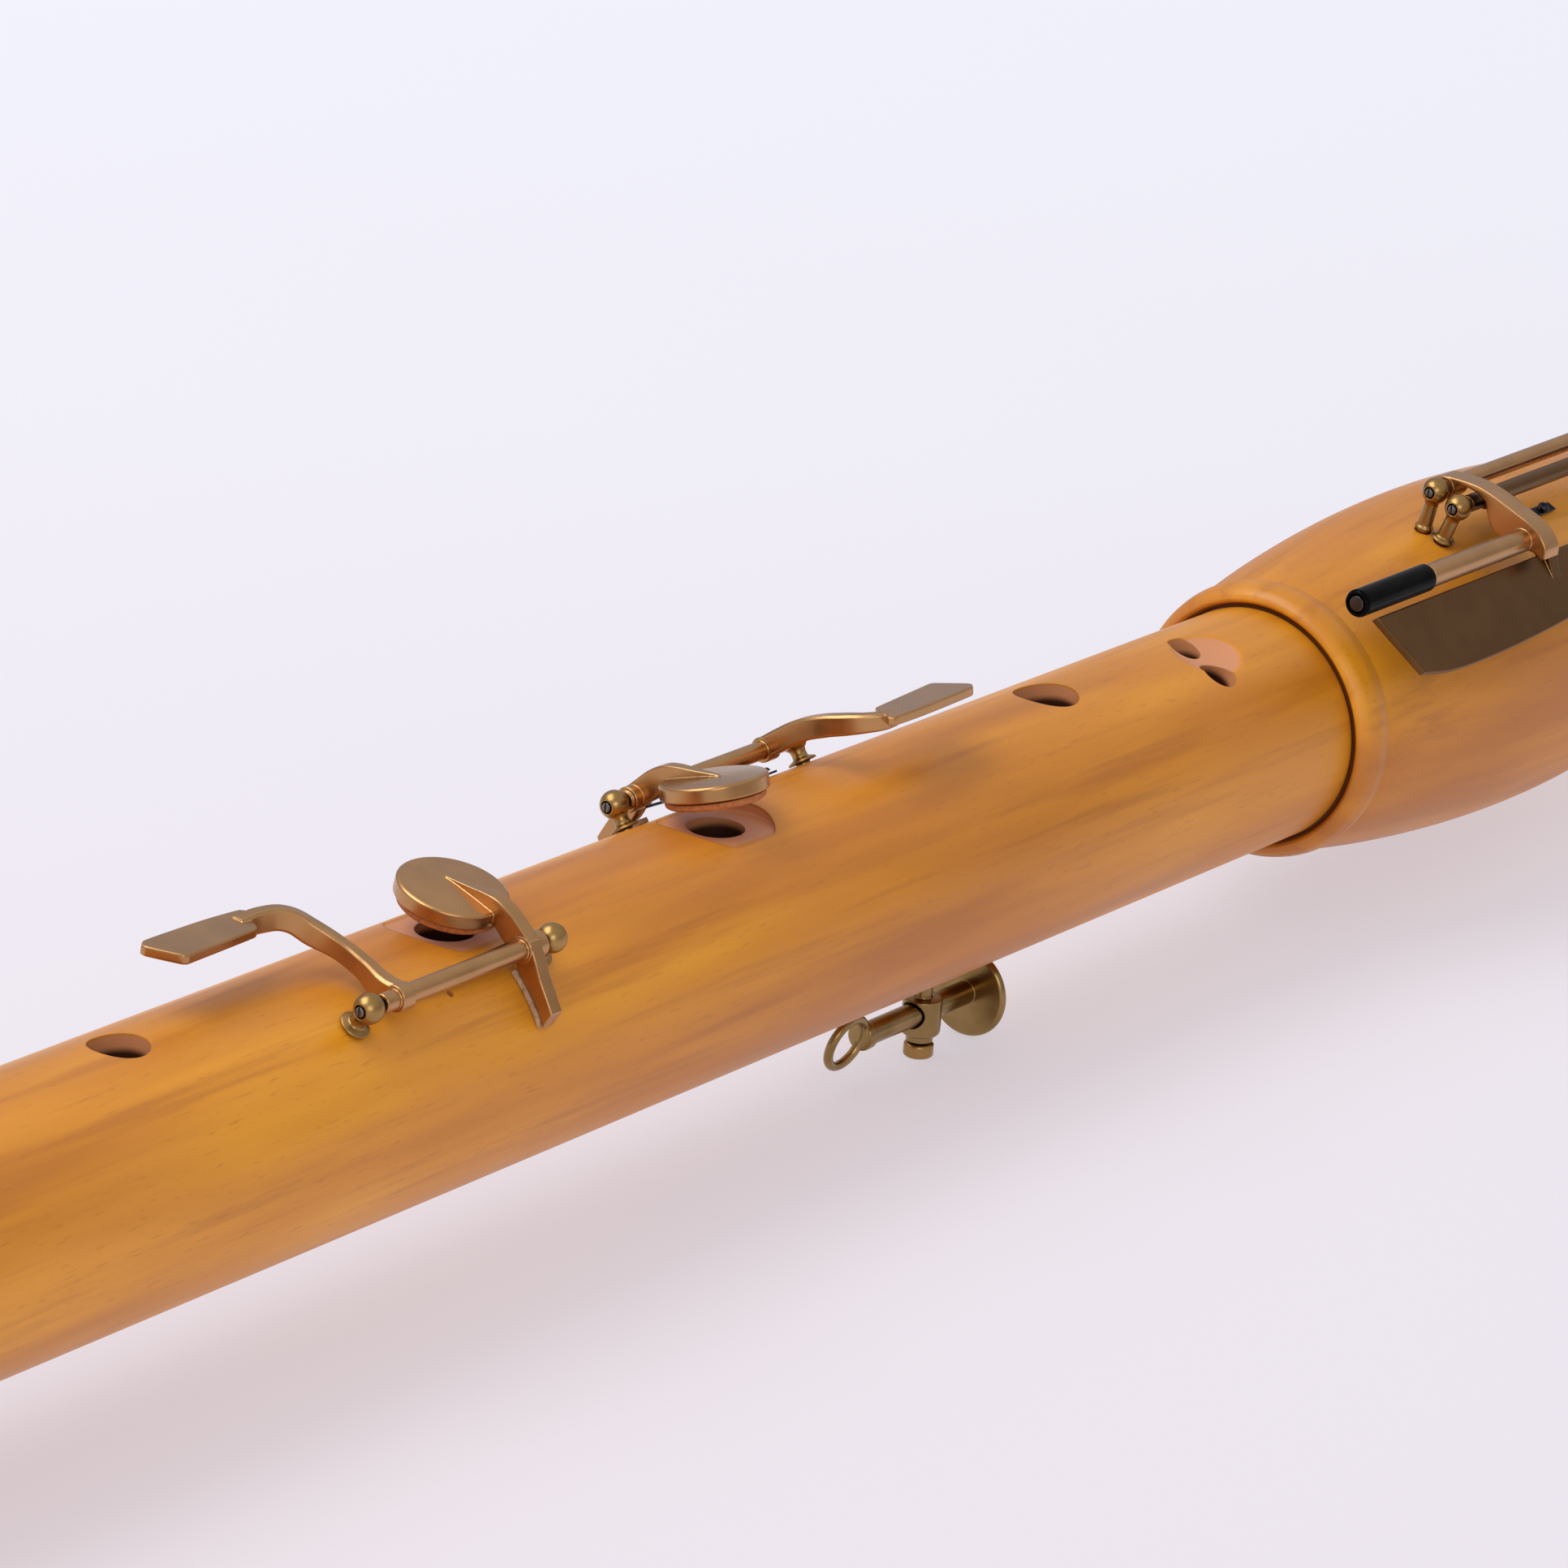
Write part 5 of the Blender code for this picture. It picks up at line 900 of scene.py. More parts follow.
def foot_key(name, angle, rho, end, flange, cup_along, arm_along, arm_width, wood, parent):
    """Stand the posts and the rod of a foot key, and return its lever's tube and its axis."""
    axis = ring_point(rho, angle)
    for label, along in (("_upper_post", FOOT_POST_ALONG), ("_lower_post", end)):
        highest = max(socket_radius(along - flange), socket_radius(along + flange))
        post(name + label, along, angle, rho, highest, wood, parent, flange)
    hinge_rod(name + "_hinge_rod", FOOT_POST_ALONG - BALL_RADIUS, end + BALL_RADIUS, axis, parent)
    hubs = [(middle - width / 2 - HUB_MARGIN, middle + width / 2 + HUB_MARGIN)
            for middle, width in ((arm_along, arm_width), (cup_along, BAR_THICKNESS))]
    pivot = holder(name + "_pivot", parent, (0, *axis))
    tube = key_tube(name, FOOT_POST_ALONG + BALL_RADIUS + GAP, end - BALL_RADIUS - GAP, hubs, pivot)
    return tube, axis


def foot_cup(name, along, axis, angle, rho, open_angle, lever, wood):
    """Hang a cup of a foot key over its hole, and sink the hole's flat seat in the wood."""
    wood_radius = socket_radius(along)
    seat = wood_radius - FOOT_SEAT_DEPTH
    top = seat + GAP + PAD_THICKNESS + CUP_THICKNESS
    opened = about_x(-open_angle)
    reach = FOOT_CUP_ANGLE + math.degrees(CUP_RADIUS * 0.5 / top)
    rim = FOOT_CUP_ANGLE - math.degrees(CUP_RADIUS * 0.72 / top)
    middle = (angle + rim) / 2
    drop = rho - top
    arm = ring_outline([(rho + 0.0020, angle - 1), (rho + 0.0004 - 0.15 * drop, angle + 8),
                        (rho - 0.60 * drop + 0.0016, middle + 3), (top + 0.0020, rim),
                        (top + 0.0014, FOOT_CUP_ANGLE), (top + 0.0004, reach),
                        (top - 0.0008, reach), (top - 0.0014, rim + 3),
                        (rho - 0.75 * drop - 0.0012, middle),
                        (rho - 0.0024 - 0.2 * drop, angle + 4), (rho - 0.0019, angle - 1)], axis)
    fuse_slab(lever, arm, BAR_THICKNESS, opened @ upright(along))
    cup_and_pad(name, opened @ shifted((0, -axis[0], -axis[1])) @ shifted((along, 0, 0))
                @ about_x(FOOT_CUP_ANGLE), top, lever)
    outer = wood_radius + CUT_PAST_FOOT
    radial_bore(wood, along, FOOT_CUP_ANGLE, SEAT_RADIUS, seat, outer, SIDES_SEAT)
    radial_bore(wood, along, FOOT_CUP_ANGLE, FOOT_HOLE_RADIUS, FOOT_BORE_RADIUS * 0.5, outer)


def foot_stop(name, along, axis, angle, rho, lever):
    """Fuse the tail that stops a foot key, and glue its cork under it."""
    cork_rho = socket_radius(along - BAR_THICKNESS / 2) + GAP
    cork_top = cork_rho + STOP_CORK_THICKNESS
    low = cork_top + GAP
    end = angle - FOOT_STOP_BACK
    tail = ring_outline([(rho - 0.0019, angle + 2), (rho - 0.0036, angle + 1),
                         (low + 0.0012, end + 9), (low, end + 5.5), (low, end),
                         (low + 0.0020, end), (low + 0.0032, end + 8),
                         (rho - 0.0034, angle - 4.5), (rho - 0.0018, angle - 2.5)], axis)
    fuse_slab(lever, tail, BAR_THICKNESS, upright(along))
    first = end + 0.5
    run = math.degrees(STOP_CORK_LENGTH / 3 / cork_rho)
    stop = ring_outline([(cork_top, first), (cork_top, first + run), (cork_rho, first + run),
                         (cork_rho, first + run / 2), (cork_rho, first)], axis)
    slab(name + "_stop_cork", stop, BAR_THICKNESS, lever.parent, upright(along), "cork", 0.0)


def roller_key(wood, parent):
    """Build the far foot key, whose arm crosses the near tube to carry the roller."""
    name, place = "roller_key", (FAR_AXIS_ANGLE, FAR_AXIS_RHO)
    lever, axis = foot_key(name, *place, FAR_POST_END, FAR_FLANGE_RADIUS, FAR_CUP_ALONG,
                           ROLLER_ARM_ALONG, ROLLER_ARM_WIDTH, wood, parent)
    pivot = lever.parent
    near_top = NEAR_AXIS_RHO + TUBE_RADIUS
    arm = ring_outline([(0.0370, 7.5), (0.0381, 10.0), (0.0390, 15.0), (near_top + 0.0025, 20.5),
                        (0.0404, 25.0), (0.0409, 31.0), (0.0418, 37.0), (0.0420, 41.0),
                        (0.0414, 44.5), (0.0402, 46.3), (0.0393, 46.0), (0.0390, 43.5),
                        (0.0379, 41.3), (0.0365, 39.0), (0.0358, 36.0), (0.0352, 32.0),
                        (0.0362, 28.0), (near_top + 0.0010, 24.5), (near_top + 0.0013, 21.0),
                        (near_top + 0.0011, 17.5), (0.0372, 15.4), (0.0355, 15.0),
                        (0.0342, 12.5), (0.0346, 9.0)], axis)
    fuse_slab(lever, arm, ROLLER_ARM_WIDTH, upright(ROLLER_ARM_ALONG))
    across, up = ROLLER_Y - axis[0], ROLLER_Z - axis[1]
    start, end = ROLLER_START, ROLLER_START + ROLLER_LENGTH
    pin_end = ROLLER_ARM_ALONG - 0.0100
    fuse(lever, cylinder("sleeve", (end + GAP, across, up),
                         (ROLLER_ARM_ALONG + 0.0004, across, up), SLEEVE_RADIUS, pivot))
    foot_cup(name, FAR_CUP_ALONG, axis, *place, FAR_OPEN, lever, wood)
    foot_stop(name, FAR_CUP_ALONG, axis, *place, lever)
    bore(lever, (FOOT_POST_ALONG, 0, 0), (FAR_POST_END, 0, 0), ROD_RADIUS + GAP, pivot)
    bore(lever, (end, across, up), (pin_end, across, up), ROLLER_PIN_RADIUS + GAP, pivot)
    spin = holder("roller_pivot", pivot, (0, across, up))
    head_floor = start + 0.0006
    pin, head = ROLLER_PIN_RADIUS, ROLLER_PIN_HEAD
    lathe("roller", [(ROLLER_RADIUS - 0.0003, end), (ROLLER_RADIUS, end - 0.0003),
                     (ROLLER_RADIUS, start + 0.0005), (ROLLER_RADIUS - 0.0004, start),
                     (head + GAP, start), (head + GAP, head_floor + GAP),
                     (pin + GAP, head_floor + GAP), (pin + GAP, end)],
          spin, "roller_black", SIDES_PIN, "X")
    lathe("roller_pin", [(0.0, pin_end - GAP), (pin, pin_end - GAP), (pin, head_floor),
                         (head, head_floor), (head, start), (0.0, start)], spin, "pin", 56, "X")
    leaf_base = socket_radius(0.1250) + GAP + LEAF_THICKNESS / 2
    leaf_spring(name + "_spring", 25.0,
                [(0.1255, leaf_base), (0.1310, leaf_base), (0.1390, leaf_base + 0.0008),
                 (FAR_CUP_ALONG + LEAF_PAST_ARM, leaf_base + 0.0018)], 0.1282, wood, parent)


def plate_key(wood, parent):
    """Build the near foot key, with the long plate for the little finger."""
    name, place = "plate_key", (NEAR_AXIS_ANGLE, NEAR_AXIS_RHO)
    lever, axis = foot_key(name, *place, NEAR_POST_END, NEAR_FLANGE_RADIUS, NEAR_CUP_ALONG,
                           PLATE_ARM_ALONG, BAR_THICKNESS, wood, parent)
    # The near foot key takes a darker copy of the bronze as painted shade.
    lever["finish"] = "plate_bronze"
    arm = ring_outline([(0.0379, 20.0), (0.0386, 27.0), (0.0386, 35.0), (0.0380, 43.0),
                        (0.0368, 48.0), (PLATE_RHO - 0.0003, 53.0), (PLATE_RHO - 0.0012, 53.0),
                        (0.0345, 47.0), (0.0352, 42.0), (0.0352, 34.0), (0.0346, 26.0),
                        (0.0340, 20.5)], axis)
    fuse_slab(lever, arm, BAR_THICKNESS, upright(PLATE_ARM_ALONG))
    outline = [(-0.0032, -0.0063), (0.0630, -0.0063), (0.0680, -0.0052), (0.0705, -0.0018),
               (0.0700, 0.0012), (0.0660, 0.0038), (0.0580, 0.0052), (0.0480, 0.0060),
               (0.0350, 0.0067), (0.0230, 0.0070), (0.0110, 0.0067), (0.0029, 0.0054)]
    flipped = Matrix.Diagonal((1, -1, -1, 1))
    fuse_slab(lever, outline, PLATE_THICKNESS, shifted((0, -axis[0], -axis[1]))
              @ about_x(PLATE_ANGLE) @ shifted((0, 0, PLATE_RHO - PLATE_THICKNESS / 2)) @ flipped)
    foot_cup(name, NEAR_CUP_ALONG, axis, *place, NEAR_OPEN, lever, wood)
    foot_stop(name, NEAR_CUP_ALONG, axis, *place, lever)
    bore(lever, (FOOT_POST_ALONG, 0, 0), (NEAR_POST_END, 0, 0), ROD_RADIUS + GAP, lever.parent)
    leaf_base = BULGE_RADIUS + GAP + LEAF_THICKNESS / 2
    leaf_spring(name + "_spring", 24.5,
                [(0.0740, leaf_base), (0.0680, leaf_base), (0.0590, leaf_base + 0.0017),
                 (PLATE_ARM_ALONG - LEAF_PAST_ARM, leaf_base + 0.0039)], 0.0710, wood, parent)


# Thumb rest

def thumb_rest(wood):
    """Hang the sliding thumb rest with its strap ring under the middle joint."""
    carrier = holder("thumb_rest_frame", INSTRUMENT, (-REST_UP, 0, 0), about_x(180.0))
    foot = BODY_RADIUS + GAP
    flange_top = foot + 0.0010
    shank = foot - REST_SHANK_LENGTH
    bottom, nut = REST_SLEEVE_BOTTOM + 0.0012, LOCK_HEAD_RADIUS * 0.9
    sleeve, stem, flange = REST_SLEEVE_RADIUS, REST_STEM_RADIUS, REST_FLANGE_RADIUS
    stand = lathe("thumb_rest_post", [
        (0.0, bottom), (nut, bottom), (nut, REST_SLEEVE_BOTTOM),
        (sleeve - 0.0004, REST_SLEEVE_BOTTOM), (sleeve, REST_SLEEVE_BOTTOM - 0.0005),
        (sleeve, REST_SLEEVE_TOP), (stem, REST_SLEEVE_TOP), (stem, flange_top + 0.0008),
        (flange - 0.0009, flange_top), (flange, foot + 0.0004), (flange, foot), (stem, foot),
        (stem, shank), (0.0, shank)], carrier, "dark_brass", SIDES_PIN)
    bore(stand, (-0.006, 0, REST_AXIS_DEPTH), (0.006, 0, REST_AXIS_DEPTH), REST_ROD_RADIUS + GAP,
         carrier, SIDES_PIN)
    bore(stand, (0, 0, REST_AXIS_DEPTH), (0, 0, LOCK_HEAD_BOTTOM), LOCK_SHANK_RADIUS + GAP, carrier)
    bore(wood, (0, 0, shank - GAP), (0, 0, foot + CUT_PAST_SHANK), stem + GAP, carrier)

    slide = holder("thumb_rest_slide", carrier, (0, 0, REST_AXIS_DEPTH))
    start, end = REST_ROD_START, REST_ROD_END
    rod = cylinder("thumb_rest", (start, 0, 0), (end, 0, 0), REST_ROD_RADIUS, slide,
                   "dark_brass", SIDES_PIN)
    half, outer = REST_PLATE_THICKNESS / 2, REST_PLATE_RADIUS
    plate = lathe("plate", [(0.0, half), (outer - 0.0005, half), (outer, 0.0003),
                            (outer, -0.0003), (outer - 0.0004, -half), (0.0, -half)],
                  slide, None, SIDES_DISC, "X", shifted((end, 0, 0)))
    turns = [2 * math.pi * share for share in shares(24)[:-1]]
    wire = [(REST_RING_RADIUS + REST_WIRE_RADIUS * math.cos(turn),
             -REST_WIRE_RADIUS * math.sin(turn)) for turn in turns]
    loop = lathe("strap_ring", wire, slide, None, SIDES_PIN, matrix=(
        shifted((start - REST_RING_RADIUS + 0.0006, 0, 0)) @ about_x(90.0 + REST_RING_TURN)))
    collar = cylinder("collar", (start - 0.0001, 0, 0), (start + 0.0018, 0, 0),
                      REST_ROD_RADIUS + 0.0004, slide, sides=SIDES_PIN)
    fuse(rod, plate, collar, loop)

    turn = holder("lock_screw_turn", carrier)
    shank_top = REST_AXIS_DEPTH + REST_ROD_RADIUS + GAP
    head, head_top, low = LOCK_HEAD_RADIUS, bottom + GAP, LOCK_HEAD_BOTTOM
    lathe("thumb_rest_lock_screw", [
        (0.0, low), (head - 0.0003, low), (head, low - 0.0003), (head, head_top + 0.0003),
        (head - 0.0003, head_top), (LOCK_SHANK_RADIUS, head_top), (LOCK_SHANK_RADIUS, shank_top),
        (0.0, shank_top)], turn, "brass", SIDES_PIN)


# Finishes

def shader_of(name, roughness, metallic=0.0):
    """Return a new material with its node tree and its Principled shader."""
    made = bpy.data.materials.new(name)
    made.use_nodes = True
    shader = made.node_tree.nodes["Principled BSDF"]
    feed(shader, {"Roughness": roughness, "Metallic": metallic})
    return made, made.node_tree, shader


def object_place(tree):
    return node(tree, "ShaderNodeTexCoord", {}).outputs["Object"]


def feed(made, inputs):
    """Set the inputs of a node, each to a plain value or to the output of another node."""
    for key, value in inputs.items():
        if isinstance(value, bpy.types.NodeSocket):
            made.id_data.links.new(value, made.inputs[key])
        else:
            made.inputs[key].default_value = value


def node(tree, kind, inputs, **properties):
    """Return a new node with its properties set and its inputs fed."""
    made = set_up(tree.nodes.new(kind), **properties)
    feed(made, inputs)
    return made


def noise(tree, stretch, detail=3.0, shift=(0.0, 0.0, 0.0), rough=0.5):
    """Return the value of a noise whose grains per metre are given for each axis."""
    scaled = node(tree, "ShaderNodeMapping",
                  {"Vector": object_place(tree), "Scale": stretch, "Location": shift})
    return node(tree, "ShaderNodeTexNoise", {"Vector": scaled.outputs["Vector"], "Scale": 1.0,
                                             "Detail": detail, "Roughness": rough}).outputs["Fac"]


def ramp(tree, value, stops):
    """Return the colours of a ramp, given as (place, (red, green, blue)) stops."""
    made = node(tree, "ShaderNodeValToRGB", {"Fac": value})
    band = made.color_ramp
    band.elements.remove(band.elements[-1])
    band.elements[0].position = stops[0][0]
    band.elements[0].color = (*stops[0][1], 1.0)
    for place, colour in stops[1:]:
        band.elements.new(place).color = (*colour, 1.0)
    return made.outputs["Color"]


def spread(tree, value, low, high, to_low=0.0, to_high=1.0):
    """Map one range of a value smoothly to another."""
    return node(tree, "ShaderNodeMapRange", {
        "Value": value, "From Min": low, "From Max": high, "To Min": to_low, "To Max": to_high},
        interpolation_type="SMOOTHSTEP").outputs["Result"]


def mixed(tree, share, first, second):
    """Mix two colours, each a socket or a plain (red, green, blue)."""
    first, second = ((*colour, 1.0) if isinstance(colour, tuple) else colour
                     for colour in (first, second))
    return node(tree, "ShaderNodeMix", {0: share, 6: first, 7: second},
                data_type="RGBA").outputs[2]


def rounded(tree, reach):
    """Return the direction of the surface as if its edges were rounded by an amount."""
    return node(tree, "ShaderNodeBevel", {"Radius": reach}, samples=6).outputs["Normal"]


def bumped(tree, shader, height, strength, distance, edge=0.0):
    """Give the surface a fine relief, and light its edges as if they were rounded."""
    made = node(tree, "ShaderNodeBump",
                {"Strength": strength, "Distance": distance, "Height": height})
    if edge:
        feed(made, {"Normal": rounded(tree, edge)})
    feed(shader, {"Normal": made.outputs["Normal"]})


def edge_wear_and_highlight(tree, edge):
    """Return how near a point is to an edge: nothing on a face, and one where it turns sharply."""
    plain = node(tree, "ShaderNodeNewGeometry", {}).outputs["Normal"]
    match = node(tree, "ShaderNodeVectorMath", {0: rounded(tree, edge), 1: plain},
                 operation="DOT_PRODUCT")
    return spread(tree, match.outputs["Value"], 0.86, 0.995, 1.0, 0.0)


def from_axis(tree):
    """Return a point's distance from the instrument's axis."""
    _, across, up = INSTRUMENT.location
    offset = node(tree, "ShaderNodeMapping", {
        "Vector": object_place(tree), "Scale": (0.0, 1.0, 1.0), "Location": (0.0, -across, -up)})
    return node(tree, "ShaderNodeVectorMath", {0: offset.outputs["Vector"]},
                operation="LENGTH").outputs["Value"]


def maple(name, shift, bare_and_shade_radius, bare_wood_and_socket_shade):
    """Return stained and oiled maple with its grain along X; bored holes are paler at their mouths and
    darken further in as painted shade, and the sockets of the foot and head joints take painted shade.
    """
    made, tree, shader = shader_of(name, 0.42)
    broad = noise(tree, (7.0, 62.0, 62.0), 3.0, shift)
    streaks = noise(tree, (13.0, 300.0, 300.0), 4.0, shift, 0.6)
    flecks = noise(tree, (260.0, 2100.0, 2100.0), 2.0, shift)
    clouds = noise(tree, (22.0, 34.0, 34.0), 2.0, shift)
    honey = ramp(tree, broad, [(0.34, MAPLE_DEEP), (0.50, MAPLE_MIDDLE), (0.66, MAPLE_LIGHT)])
    for grain, low, high, most, colour in ((streaks, 0.50, 0.74, 0.50, MAPLE_STREAK),
                                           (flecks, 0.60, 0.75, 0.30, MAPLE_FLECK),
                                           (clouds, 0.35, 0.75, 0.30, MAPLE_ROSE)):
        honey = mixed(tree, spread(tree, grain, low, high, 0.0, most), honey, colour)
    # Under the wood's surface the colour turns paler at a hole's mouth, then dark on its wall and
    # almost black deep in the bore: this darkening is painted shade.
    distance = from_axis(tree)
    # On the foot and head joints the inner colour is painted shade in the socket's gap round the middle
    # joint, not bare wood.
    inside, wall_shade, bore_shade = (spread(tree, distance, bare_and_shade_radius - low, bare_and_shade_radius - high, 1.0, 0.0)
                          for low, high in (BARE_AND_SHADE_EDGE, WALL_SHADE_SPAN, BORE_SHADE_SPAN))
    bare_and_shaded = mixed(tree, bore_shade, mixed(tree, wall_shade, bare_wood_and_socket_shade, MAPLE_WALL_SHADE), MAPLE_BORE_SHADE)
    feed(shader, {"Base Color": mixed(tree, inside, honey, bare_and_shaded),
                  "Roughness": spread(tree, clouds, 0.3, 0.7, 0.36, 0.46),
                  "Specular IOR Level": 0.42, "Coat Weight": 0.12, "Coat Roughness": 0.3})
    bumped(tree, shader, streaks, 0.12, 0.00008, WOOD_EDGE)
    return made


def bare_stuff(name, dark, light, roughness, grains, relief):
    """Return bare wood, cork or leather, with its grains per metre and a fine relief."""
    made, tree, shader = shader_of(name, roughness)
    pores = noise(tree, grains[0], grains[1])
    feed(shader, {"Base Color": ramp(tree, pores, [(grains[2], dark), (1 - grains[2], light)])})
    bumped(tree, shader, pores, 0.3, relief)
    return made


def cast_metal(name, dull, bright, roughness, wear_and_highlight=None, coat=0.0):
    """Return a satin metal with faint clouds, a grainy surface and bright edges, partly wear and partly
    a painted highlight.
    """
    made, tree, shader = shader_of(name, roughness, 1.0)
    clouds = noise(tree, (150.0, 150.0, 150.0), 2.0)
    specks = noise(tree, (3200.0, 3200.0, 3200.0), 2.0)
    tone = ramp(tree, clouds, [(0.30, dull), (0.70, bright)])
    if wear_and_highlight:
        # Edges take the bright colour, partly as wear and partly as a painted highlight where the
        # rounded edges catch the light.
        tone = mixed(tree, edge_wear_and_highlight(tree, EDGE_WEAR_AND_HIGHLIGHT), tone, wear_and_highlight)
    feed(shader, {"Base Color": tone, "Coat Weight": coat, "Coat Roughness": 0.3,
                  "Roughness": spread(tree, clouds, 0.3, 0.7, roughness - METAL_SPECK,
                                      roughness + METAL_SPECK)})
    bumped(tree, shader, specks, 0.20, 0.00004, METAL_EDGE)
    return made


def black_gloss(name):
    """Return the smooth black of the roller."""
    made, tree, shader = shader_of(name, 0.10)
    smears = noise(tree, (300.0, 900.0, 900.0), 2.0)
    feed(shader, {"Base Color": ramp(tree, smears, [(0.3, BLACK), (0.7, BLACK_SMEAR)]),
                  "Roughness": spread(tree, smears, 0.3, 0.7, 0.08, 0.13),
                  "Specular IOR Level": 0.04})
    return made


METAL_EDGE, EDGE_WEAR_AND_HIGHLIGHT, WOOD_EDGE = 0.0003, 0.00022, 0.0004
METAL_SPECK = 0.04
# Depths under the surface where the inner colour starts, where the painted shade of a wall starts, and
# where the painted shade deep in a bore starts
BARE_AND_SHADE_EDGE, WALL_SHADE_SPAN, BORE_SHADE_SPAN = (0.0005, 0.00015), (0.0032, 0.0018), (0.0080, 0.0042)
WOOD_GRAINS = ((420.0, 900.0, 900.0), 4.0, 0.35)
LEATHER_PORES = ((1500.0, 1500.0, 1500.0), 3.0, 0.3)
BLACK, BLACK_SMEAR = (0.001, 0.001, 0.001), (0.004, 0.004, 0.004)
MAPLE_DEEP = (0.47, 0.150, 0.006)
MAPLE_MIDDLE = (0.63, 0.228, 0.006)
MAPLE_LIGHT = (0.78, 0.320, 0.014)
MAPLE_STREAK = (0.38, 0.110, 0.008)
MAPLE_FLECK = (0.30, 0.085, 0.010)
MAPLE_ROSE = (0.58, 0.20, 0.035)
MAPLE_RAW = (0.64, 0.26, 0.11)
# Painted shade on the walls of holes and bores
MAPLE_WALL_SHADE = (0.045, 0.013, 0.005)
# Painted shade in the gap of the foot and head sockets, round the middle joint
MAPLE_SOCKET_SHADE = (0.17, 0.050, 0.010)
SOCKET_SHADE_RADIUS = 0.0217
# Painted shade deep in the bores
MAPLE_BORE_SHADE = (0.010, 0.004, 0.002)
LEATHER_DARK = (0.36, 0.10, 0.022)
LEATHER_LIGHT = (0.56, 0.19, 0.045)

FINISHES = {
    "cedar": bare_stuff("cedar", (0.30, 0.12, 0.05), (0.44, 0.20, 0.09), 0.6, WOOD_GRAINS, 0.0002),
    "cork": bare_stuff("cork", (0.36, 0.20, 0.10), (0.62, 0.42, 0.26), 0.9, WOOD_GRAINS, 0.0002),
    "bronze": cast_metal("bronze", (0.44, 0.225, 0.080), (0.52, 0.275, 0.105), 0.29,
                         wear_and_highlight=(0.85, 0.56, 0.25), coat=0.30),
    # A darker copy of the bronze for the near foot key: painted shade.
    "plate_bronze": cast_metal("plate_bronze", (0.135, 0.064, 0.018), (0.165, 0.080, 0.024), 0.34,
                               wear_and_highlight=(0.66, 0.43, 0.20), coat=0.05),
    "brass": cast_metal("brass", (0.30, 0.17, 0.055), (0.42, 0.255, 0.09), 0.30,
                        wear_and_highlight=(0.58, 0.38, 0.15)),
    "dark_brass": cast_metal("dark_brass", (0.24, 0.150, 0.052), (0.36, 0.240, 0.10), 0.26,
                             wear_and_highlight=(0.48, 0.34, 0.15)),
    "steel": cast_metal("steel", (0.13, 0.12, 0.11), (0.22, 0.21, 0.20), 0.34),
    "pin": cast_metal("dark_pin", (0.06, 0.05, 0.05), (0.10, 0.09, 0.08), 0.35),
    "blued": cast_metal("blued_steel", (0.03, 0.03, 0.04), (0.07, 0.07, 0.09), 0.35),
    "leather": bare_stuff("leather", LEATHER_DARK, LEATHER_LIGHT, 0.75, LEATHER_PORES, 0.0001),
    "roller_black": black_gloss("roller_black")}
# Each joint: a shift of its grain, the radius under which its inner colour starts, and that colour:
# bare wood on the middle joint and the cap, painted socket shade on the foot and head joints
WOODS = {"middle_joint": ((0.0, 0.0, 0.0), BODY_RADIUS, MAPLE_RAW),
         "foot_joint": ((3.1, 1.7, 0.4), SOCKET_SHADE_RADIUS, MAPLE_SOCKET_SHADE),
         "head_joint": ((7.3, 0.6, 2.2), SOCKET_SHADE_RADIUS, MAPLE_SOCKET_SHADE),
         "cap": ((9.7, 4.2, 1.3), CAP_CHAMBER_DEPTH, MAPLE_RAW)}


# Making the meshes final

def settle(piece):
    """Return a plain mesh, in the frame's own coordinates, of a piece with its cuts and joins."""
    mesh = final_mesh(piece)
    mesh.transform(piece.matrix_world)
    mesh.shade_smooth()
    mesh.set_sharp_from_angle(angle=math.radians(SHARP_EDGE))
    return mesh


def level_faces(shown):
    """Let the large faces lead the shading, so that they look flat up to their eased edges."""
    shown.modifiers.new("level faces", "WEIGHTED_NORMAL").keep_sharp = True
    mesh = final_mesh(shown)
    shown.modifiers.clear()
    shown.data = mesh


def finish_of(name, finish):
    """Return the material of a finish, or the maple that belongs to one wooden joint."""
    return maple("maple_" + name, *WOODS[name]) if finish == "maple" else FINISHES[finish]


def dress(record):
    """Turn every piece into its final mesh, and hang each, apart from the leaf springs, on the body of
    the node it stands for.
    """
    bodies = {member: body for body, members in record["behaviour"]["bodies"].items()
              for member in members}
    bpy.context.view_layer.update()
    made = {piece["node"]: (settle(piece), piece["finish"]) for piece in PARTS.objects}
    for old in list(PARTS.objects) + list(CUTTERS.objects):
        if old is not INSTRUMENT:
            bpy.data.objects.remove(old, do_unlink=True)
    for name, (mesh, finish) in made.items():
        mesh.materials.clear()
        mesh.materials.append(finish_of(name, finish))
        shown = bpy.data.objects.new(name + "_shown", mesh)
        PARTS.objects.link(shown)
        level_faces(shown)
        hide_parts(name)
        if name.endswith("_spring"):
            follow_key(shown)
        else:
            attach(shown, bodies[name])


def follow_key(leaf):
    """Bake a leaf spring's place into its mesh, leaving it fixed and on no body."""
    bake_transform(leaf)


# Floor, light and camera

def hang(name, data):
    """Return a new object of the scene that isn't part of the instrument."""
    made = bpy.data.objects.new(name, data)
    bpy.context.scene.collection.objects.link(made)
    return made


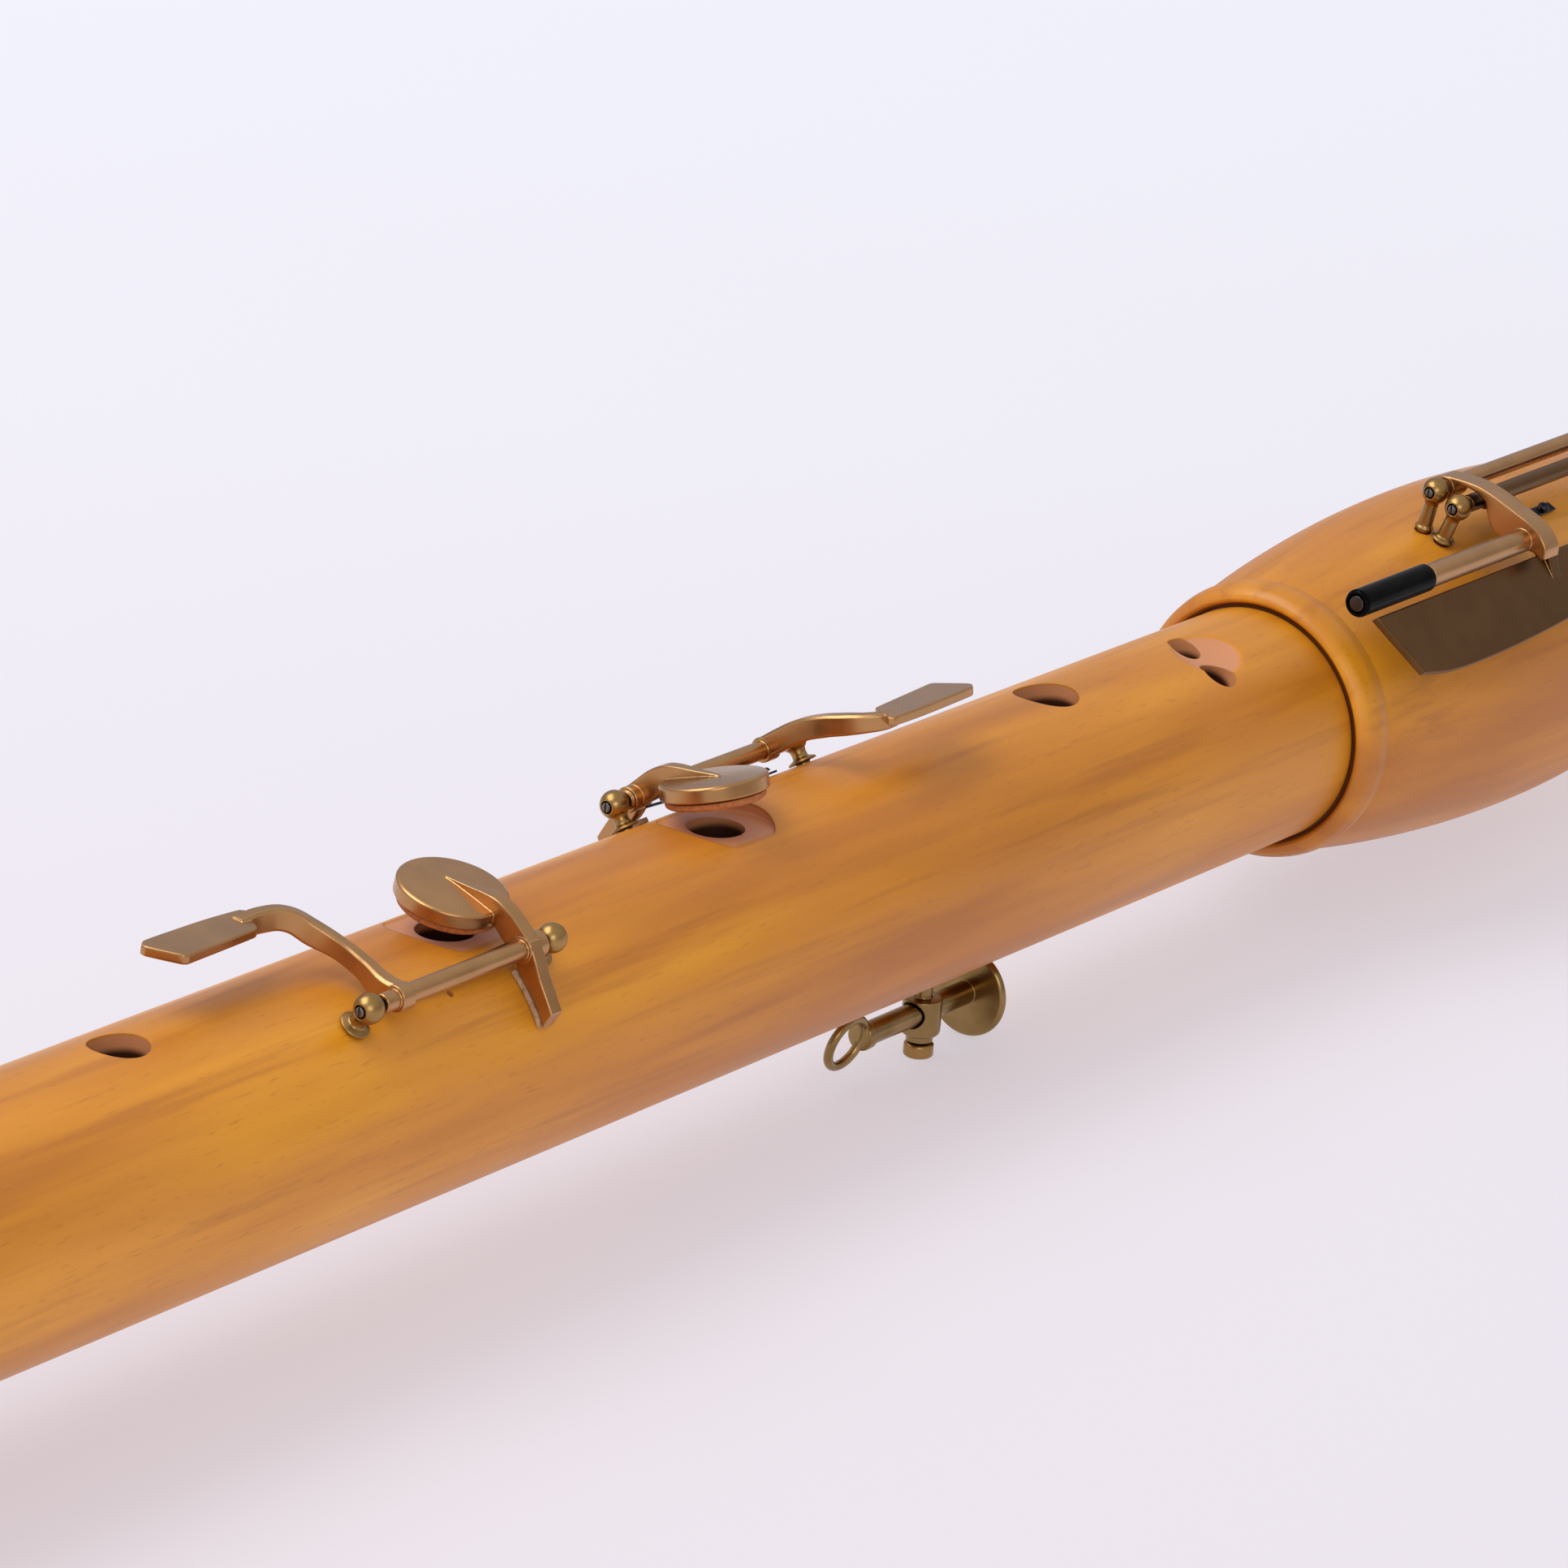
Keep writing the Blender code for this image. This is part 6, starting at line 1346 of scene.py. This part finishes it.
def pale_floor():
    """Lay the pale table top that the instrument lies on; it glows, as painted light that lifts its
    shadows and lights the instrument from below, and is painted darker and pinker towards the camera as
    painted shade.
    """
    shape = bmesh.new()
    bmesh.ops.create_grid(shape, x_segments=1, y_segments=1, size=6.0)
    mesh = bpy.data.meshes.new("pale_floor")
    shape.to_mesh(mesh)
    made, tree, shader = shader_of("pale_floor", 0.8)
    away = node(tree, "ShaderNodeVectorMath", {0: object_place(tree), 1: FLOOR_AWAY},
                operation="DOT_PRODUCT")
    far = spread(tree, away.outputs["Value"], -0.25, 1.1)
    feed(shader, {"Base Color": mixed(tree, far, FLOOR_NEAR, FLOOR_FAR),
                  "Emission Color": mixed(tree, far, GLOW_NEAR, GLOW_FAR),
                  "Emission Strength": 1.0, "Specular IOR Level": 0.1})
    mesh.materials.append(made)
    floor = hang("pale_floor", mesh)


def soft_box(name, place, target, width, height, power, colour):
    """Hang an area light that looks from its place towards a target."""
    lamp = set_up(bpy.data.lights.new(name, "AREA"), shape="RECTANGLE", size=width,
                  size_y=height, energy=power, color=colour)
    turn = (Vector(target) - Vector(place)).to_track_quat("-Z", "Y")
    set_up(hang(name, lamp), location=place, rotation_mode="QUATERNION", rotation_quaternion=turn)


def studio_sky():
    """Light the room evenly, darker near the horizon than above."""
    world = bpy.data.worlds.new("studio")
    bpy.context.scene.world = world
    world.use_nodes = True
    tree = world.node_tree
    place = node(tree, "ShaderNodeTexCoord", {}).outputs["Generated"]
    parts = node(tree, "ShaderNodeSeparateXYZ", {"Vector": place})
    feed(tree.nodes["Background"], {"Color": ramp(tree, parts.outputs["Z"], SKY_STOPS),
                                    "Strength": SKY_STRENGTH})


def photo_camera():
    """Stand the camera where the photograph was taken from."""
    lens = set_up(bpy.data.cameras.new("photo_camera"), lens=CAMERA_LENS,
                  sensor_width=CAMERA_SENSOR, clip_start=0.01, clip_end=50.0)
    ahead = Vector(CAMERA_AHEAD).normalized()
    right = ahead.cross(Vector(CAMERA_UP)).normalized()
    turn = Matrix((right, right.cross(ahead), -ahead)).transposed().to_4x4()
    camera = hang("photo_camera", lens)
    camera.matrix_world = shifted(INSTRUMENT.location + Vector(CAMERA_PLACE)) @ turn
    bpy.context.scene.camera = camera


# The floor's colours and glow: darker and pinker near the camera as painted shade, brighter away from
# it
FLOOR_AWAY = (0.82, 0.57, 0.0)
FLOOR_NEAR = (0.34, 0.34, 0.36)
FLOOR_FAR = (0.34, 0.35, 0.39)
GLOW_NEAR = (0.47, 0.42, 0.45)
GLOW_FAR = (0.56, 0.56, 0.60)
SKY_STOPS = [(0.0, (0.62, 0.59, 0.62)), (0.25, (0.62, 0.60, 0.64)), (0.55, (0.84, 0.84, 0.90)),
             (1.0, (0.97, 0.97, 1.0))]
SKY_STRENGTH = 0.72
CAMERA_LENS = 175.0
CAMERA_SENSOR = 36.0
CAMERA_PLACE = (-1.05980, -0.64986, 0.42203)
CAMERA_AHEAD = (0.77065, 0.54262, -0.33415)
CAMERA_UP = (0.22497, 0.25894, 0.93933)


# Assembly

body = middle_joint()
tenon_corks()
middle_key("key_3", 1, HOLE_3_UP, KEY_3_SPAN, KEY_3_TOUCH, KEY_3_NECK, KEY_3_OPEN, body)
middle_key("key_4", -1, HOLE_4_UP, KEY_4_SPAN, KEY_4_TOUCH, KEY_4_NECK, KEY_4_OPEN, body)
thumb_rest(body)
foot_holder = holder("foot_joint_frame", INSTRUMENT)
foot = foot_joint(foot_holder)
roller_key(foot, foot_holder)
plate_key(foot, foot_holder)
head_holder = holder("head_joint_frame", INSTRUMENT, (-MIDDLE_LENGTH, 0, 0))
head_joint(head_holder)
fipple_block(head_holder)
cork_ring("cap_cork", -CAP_CORK_START - GAP, -CAP_CORK_END + GAP, CAP_TENON_RADIUS, head_holder)
cap(head_holder)
crook(head_holder)
dress(frame["record"])
pale_floor()
studio_sky()
soft_box("overhead", (-0.5, 0.6, 1.5), (-0.1, 0.0, 0.0), 1.6, 1.0, 17.0, (1.0, 0.99, 1.0))
soft_box("front", (-1.4, -1.6, 1.0), (0.0, 0.0, 0.0), 1.2, 1.0, 10.0, (1.0, 0.98, 0.96))
photo_camera()
bpy.context.scene.view_settings.view_transform = "Standard"
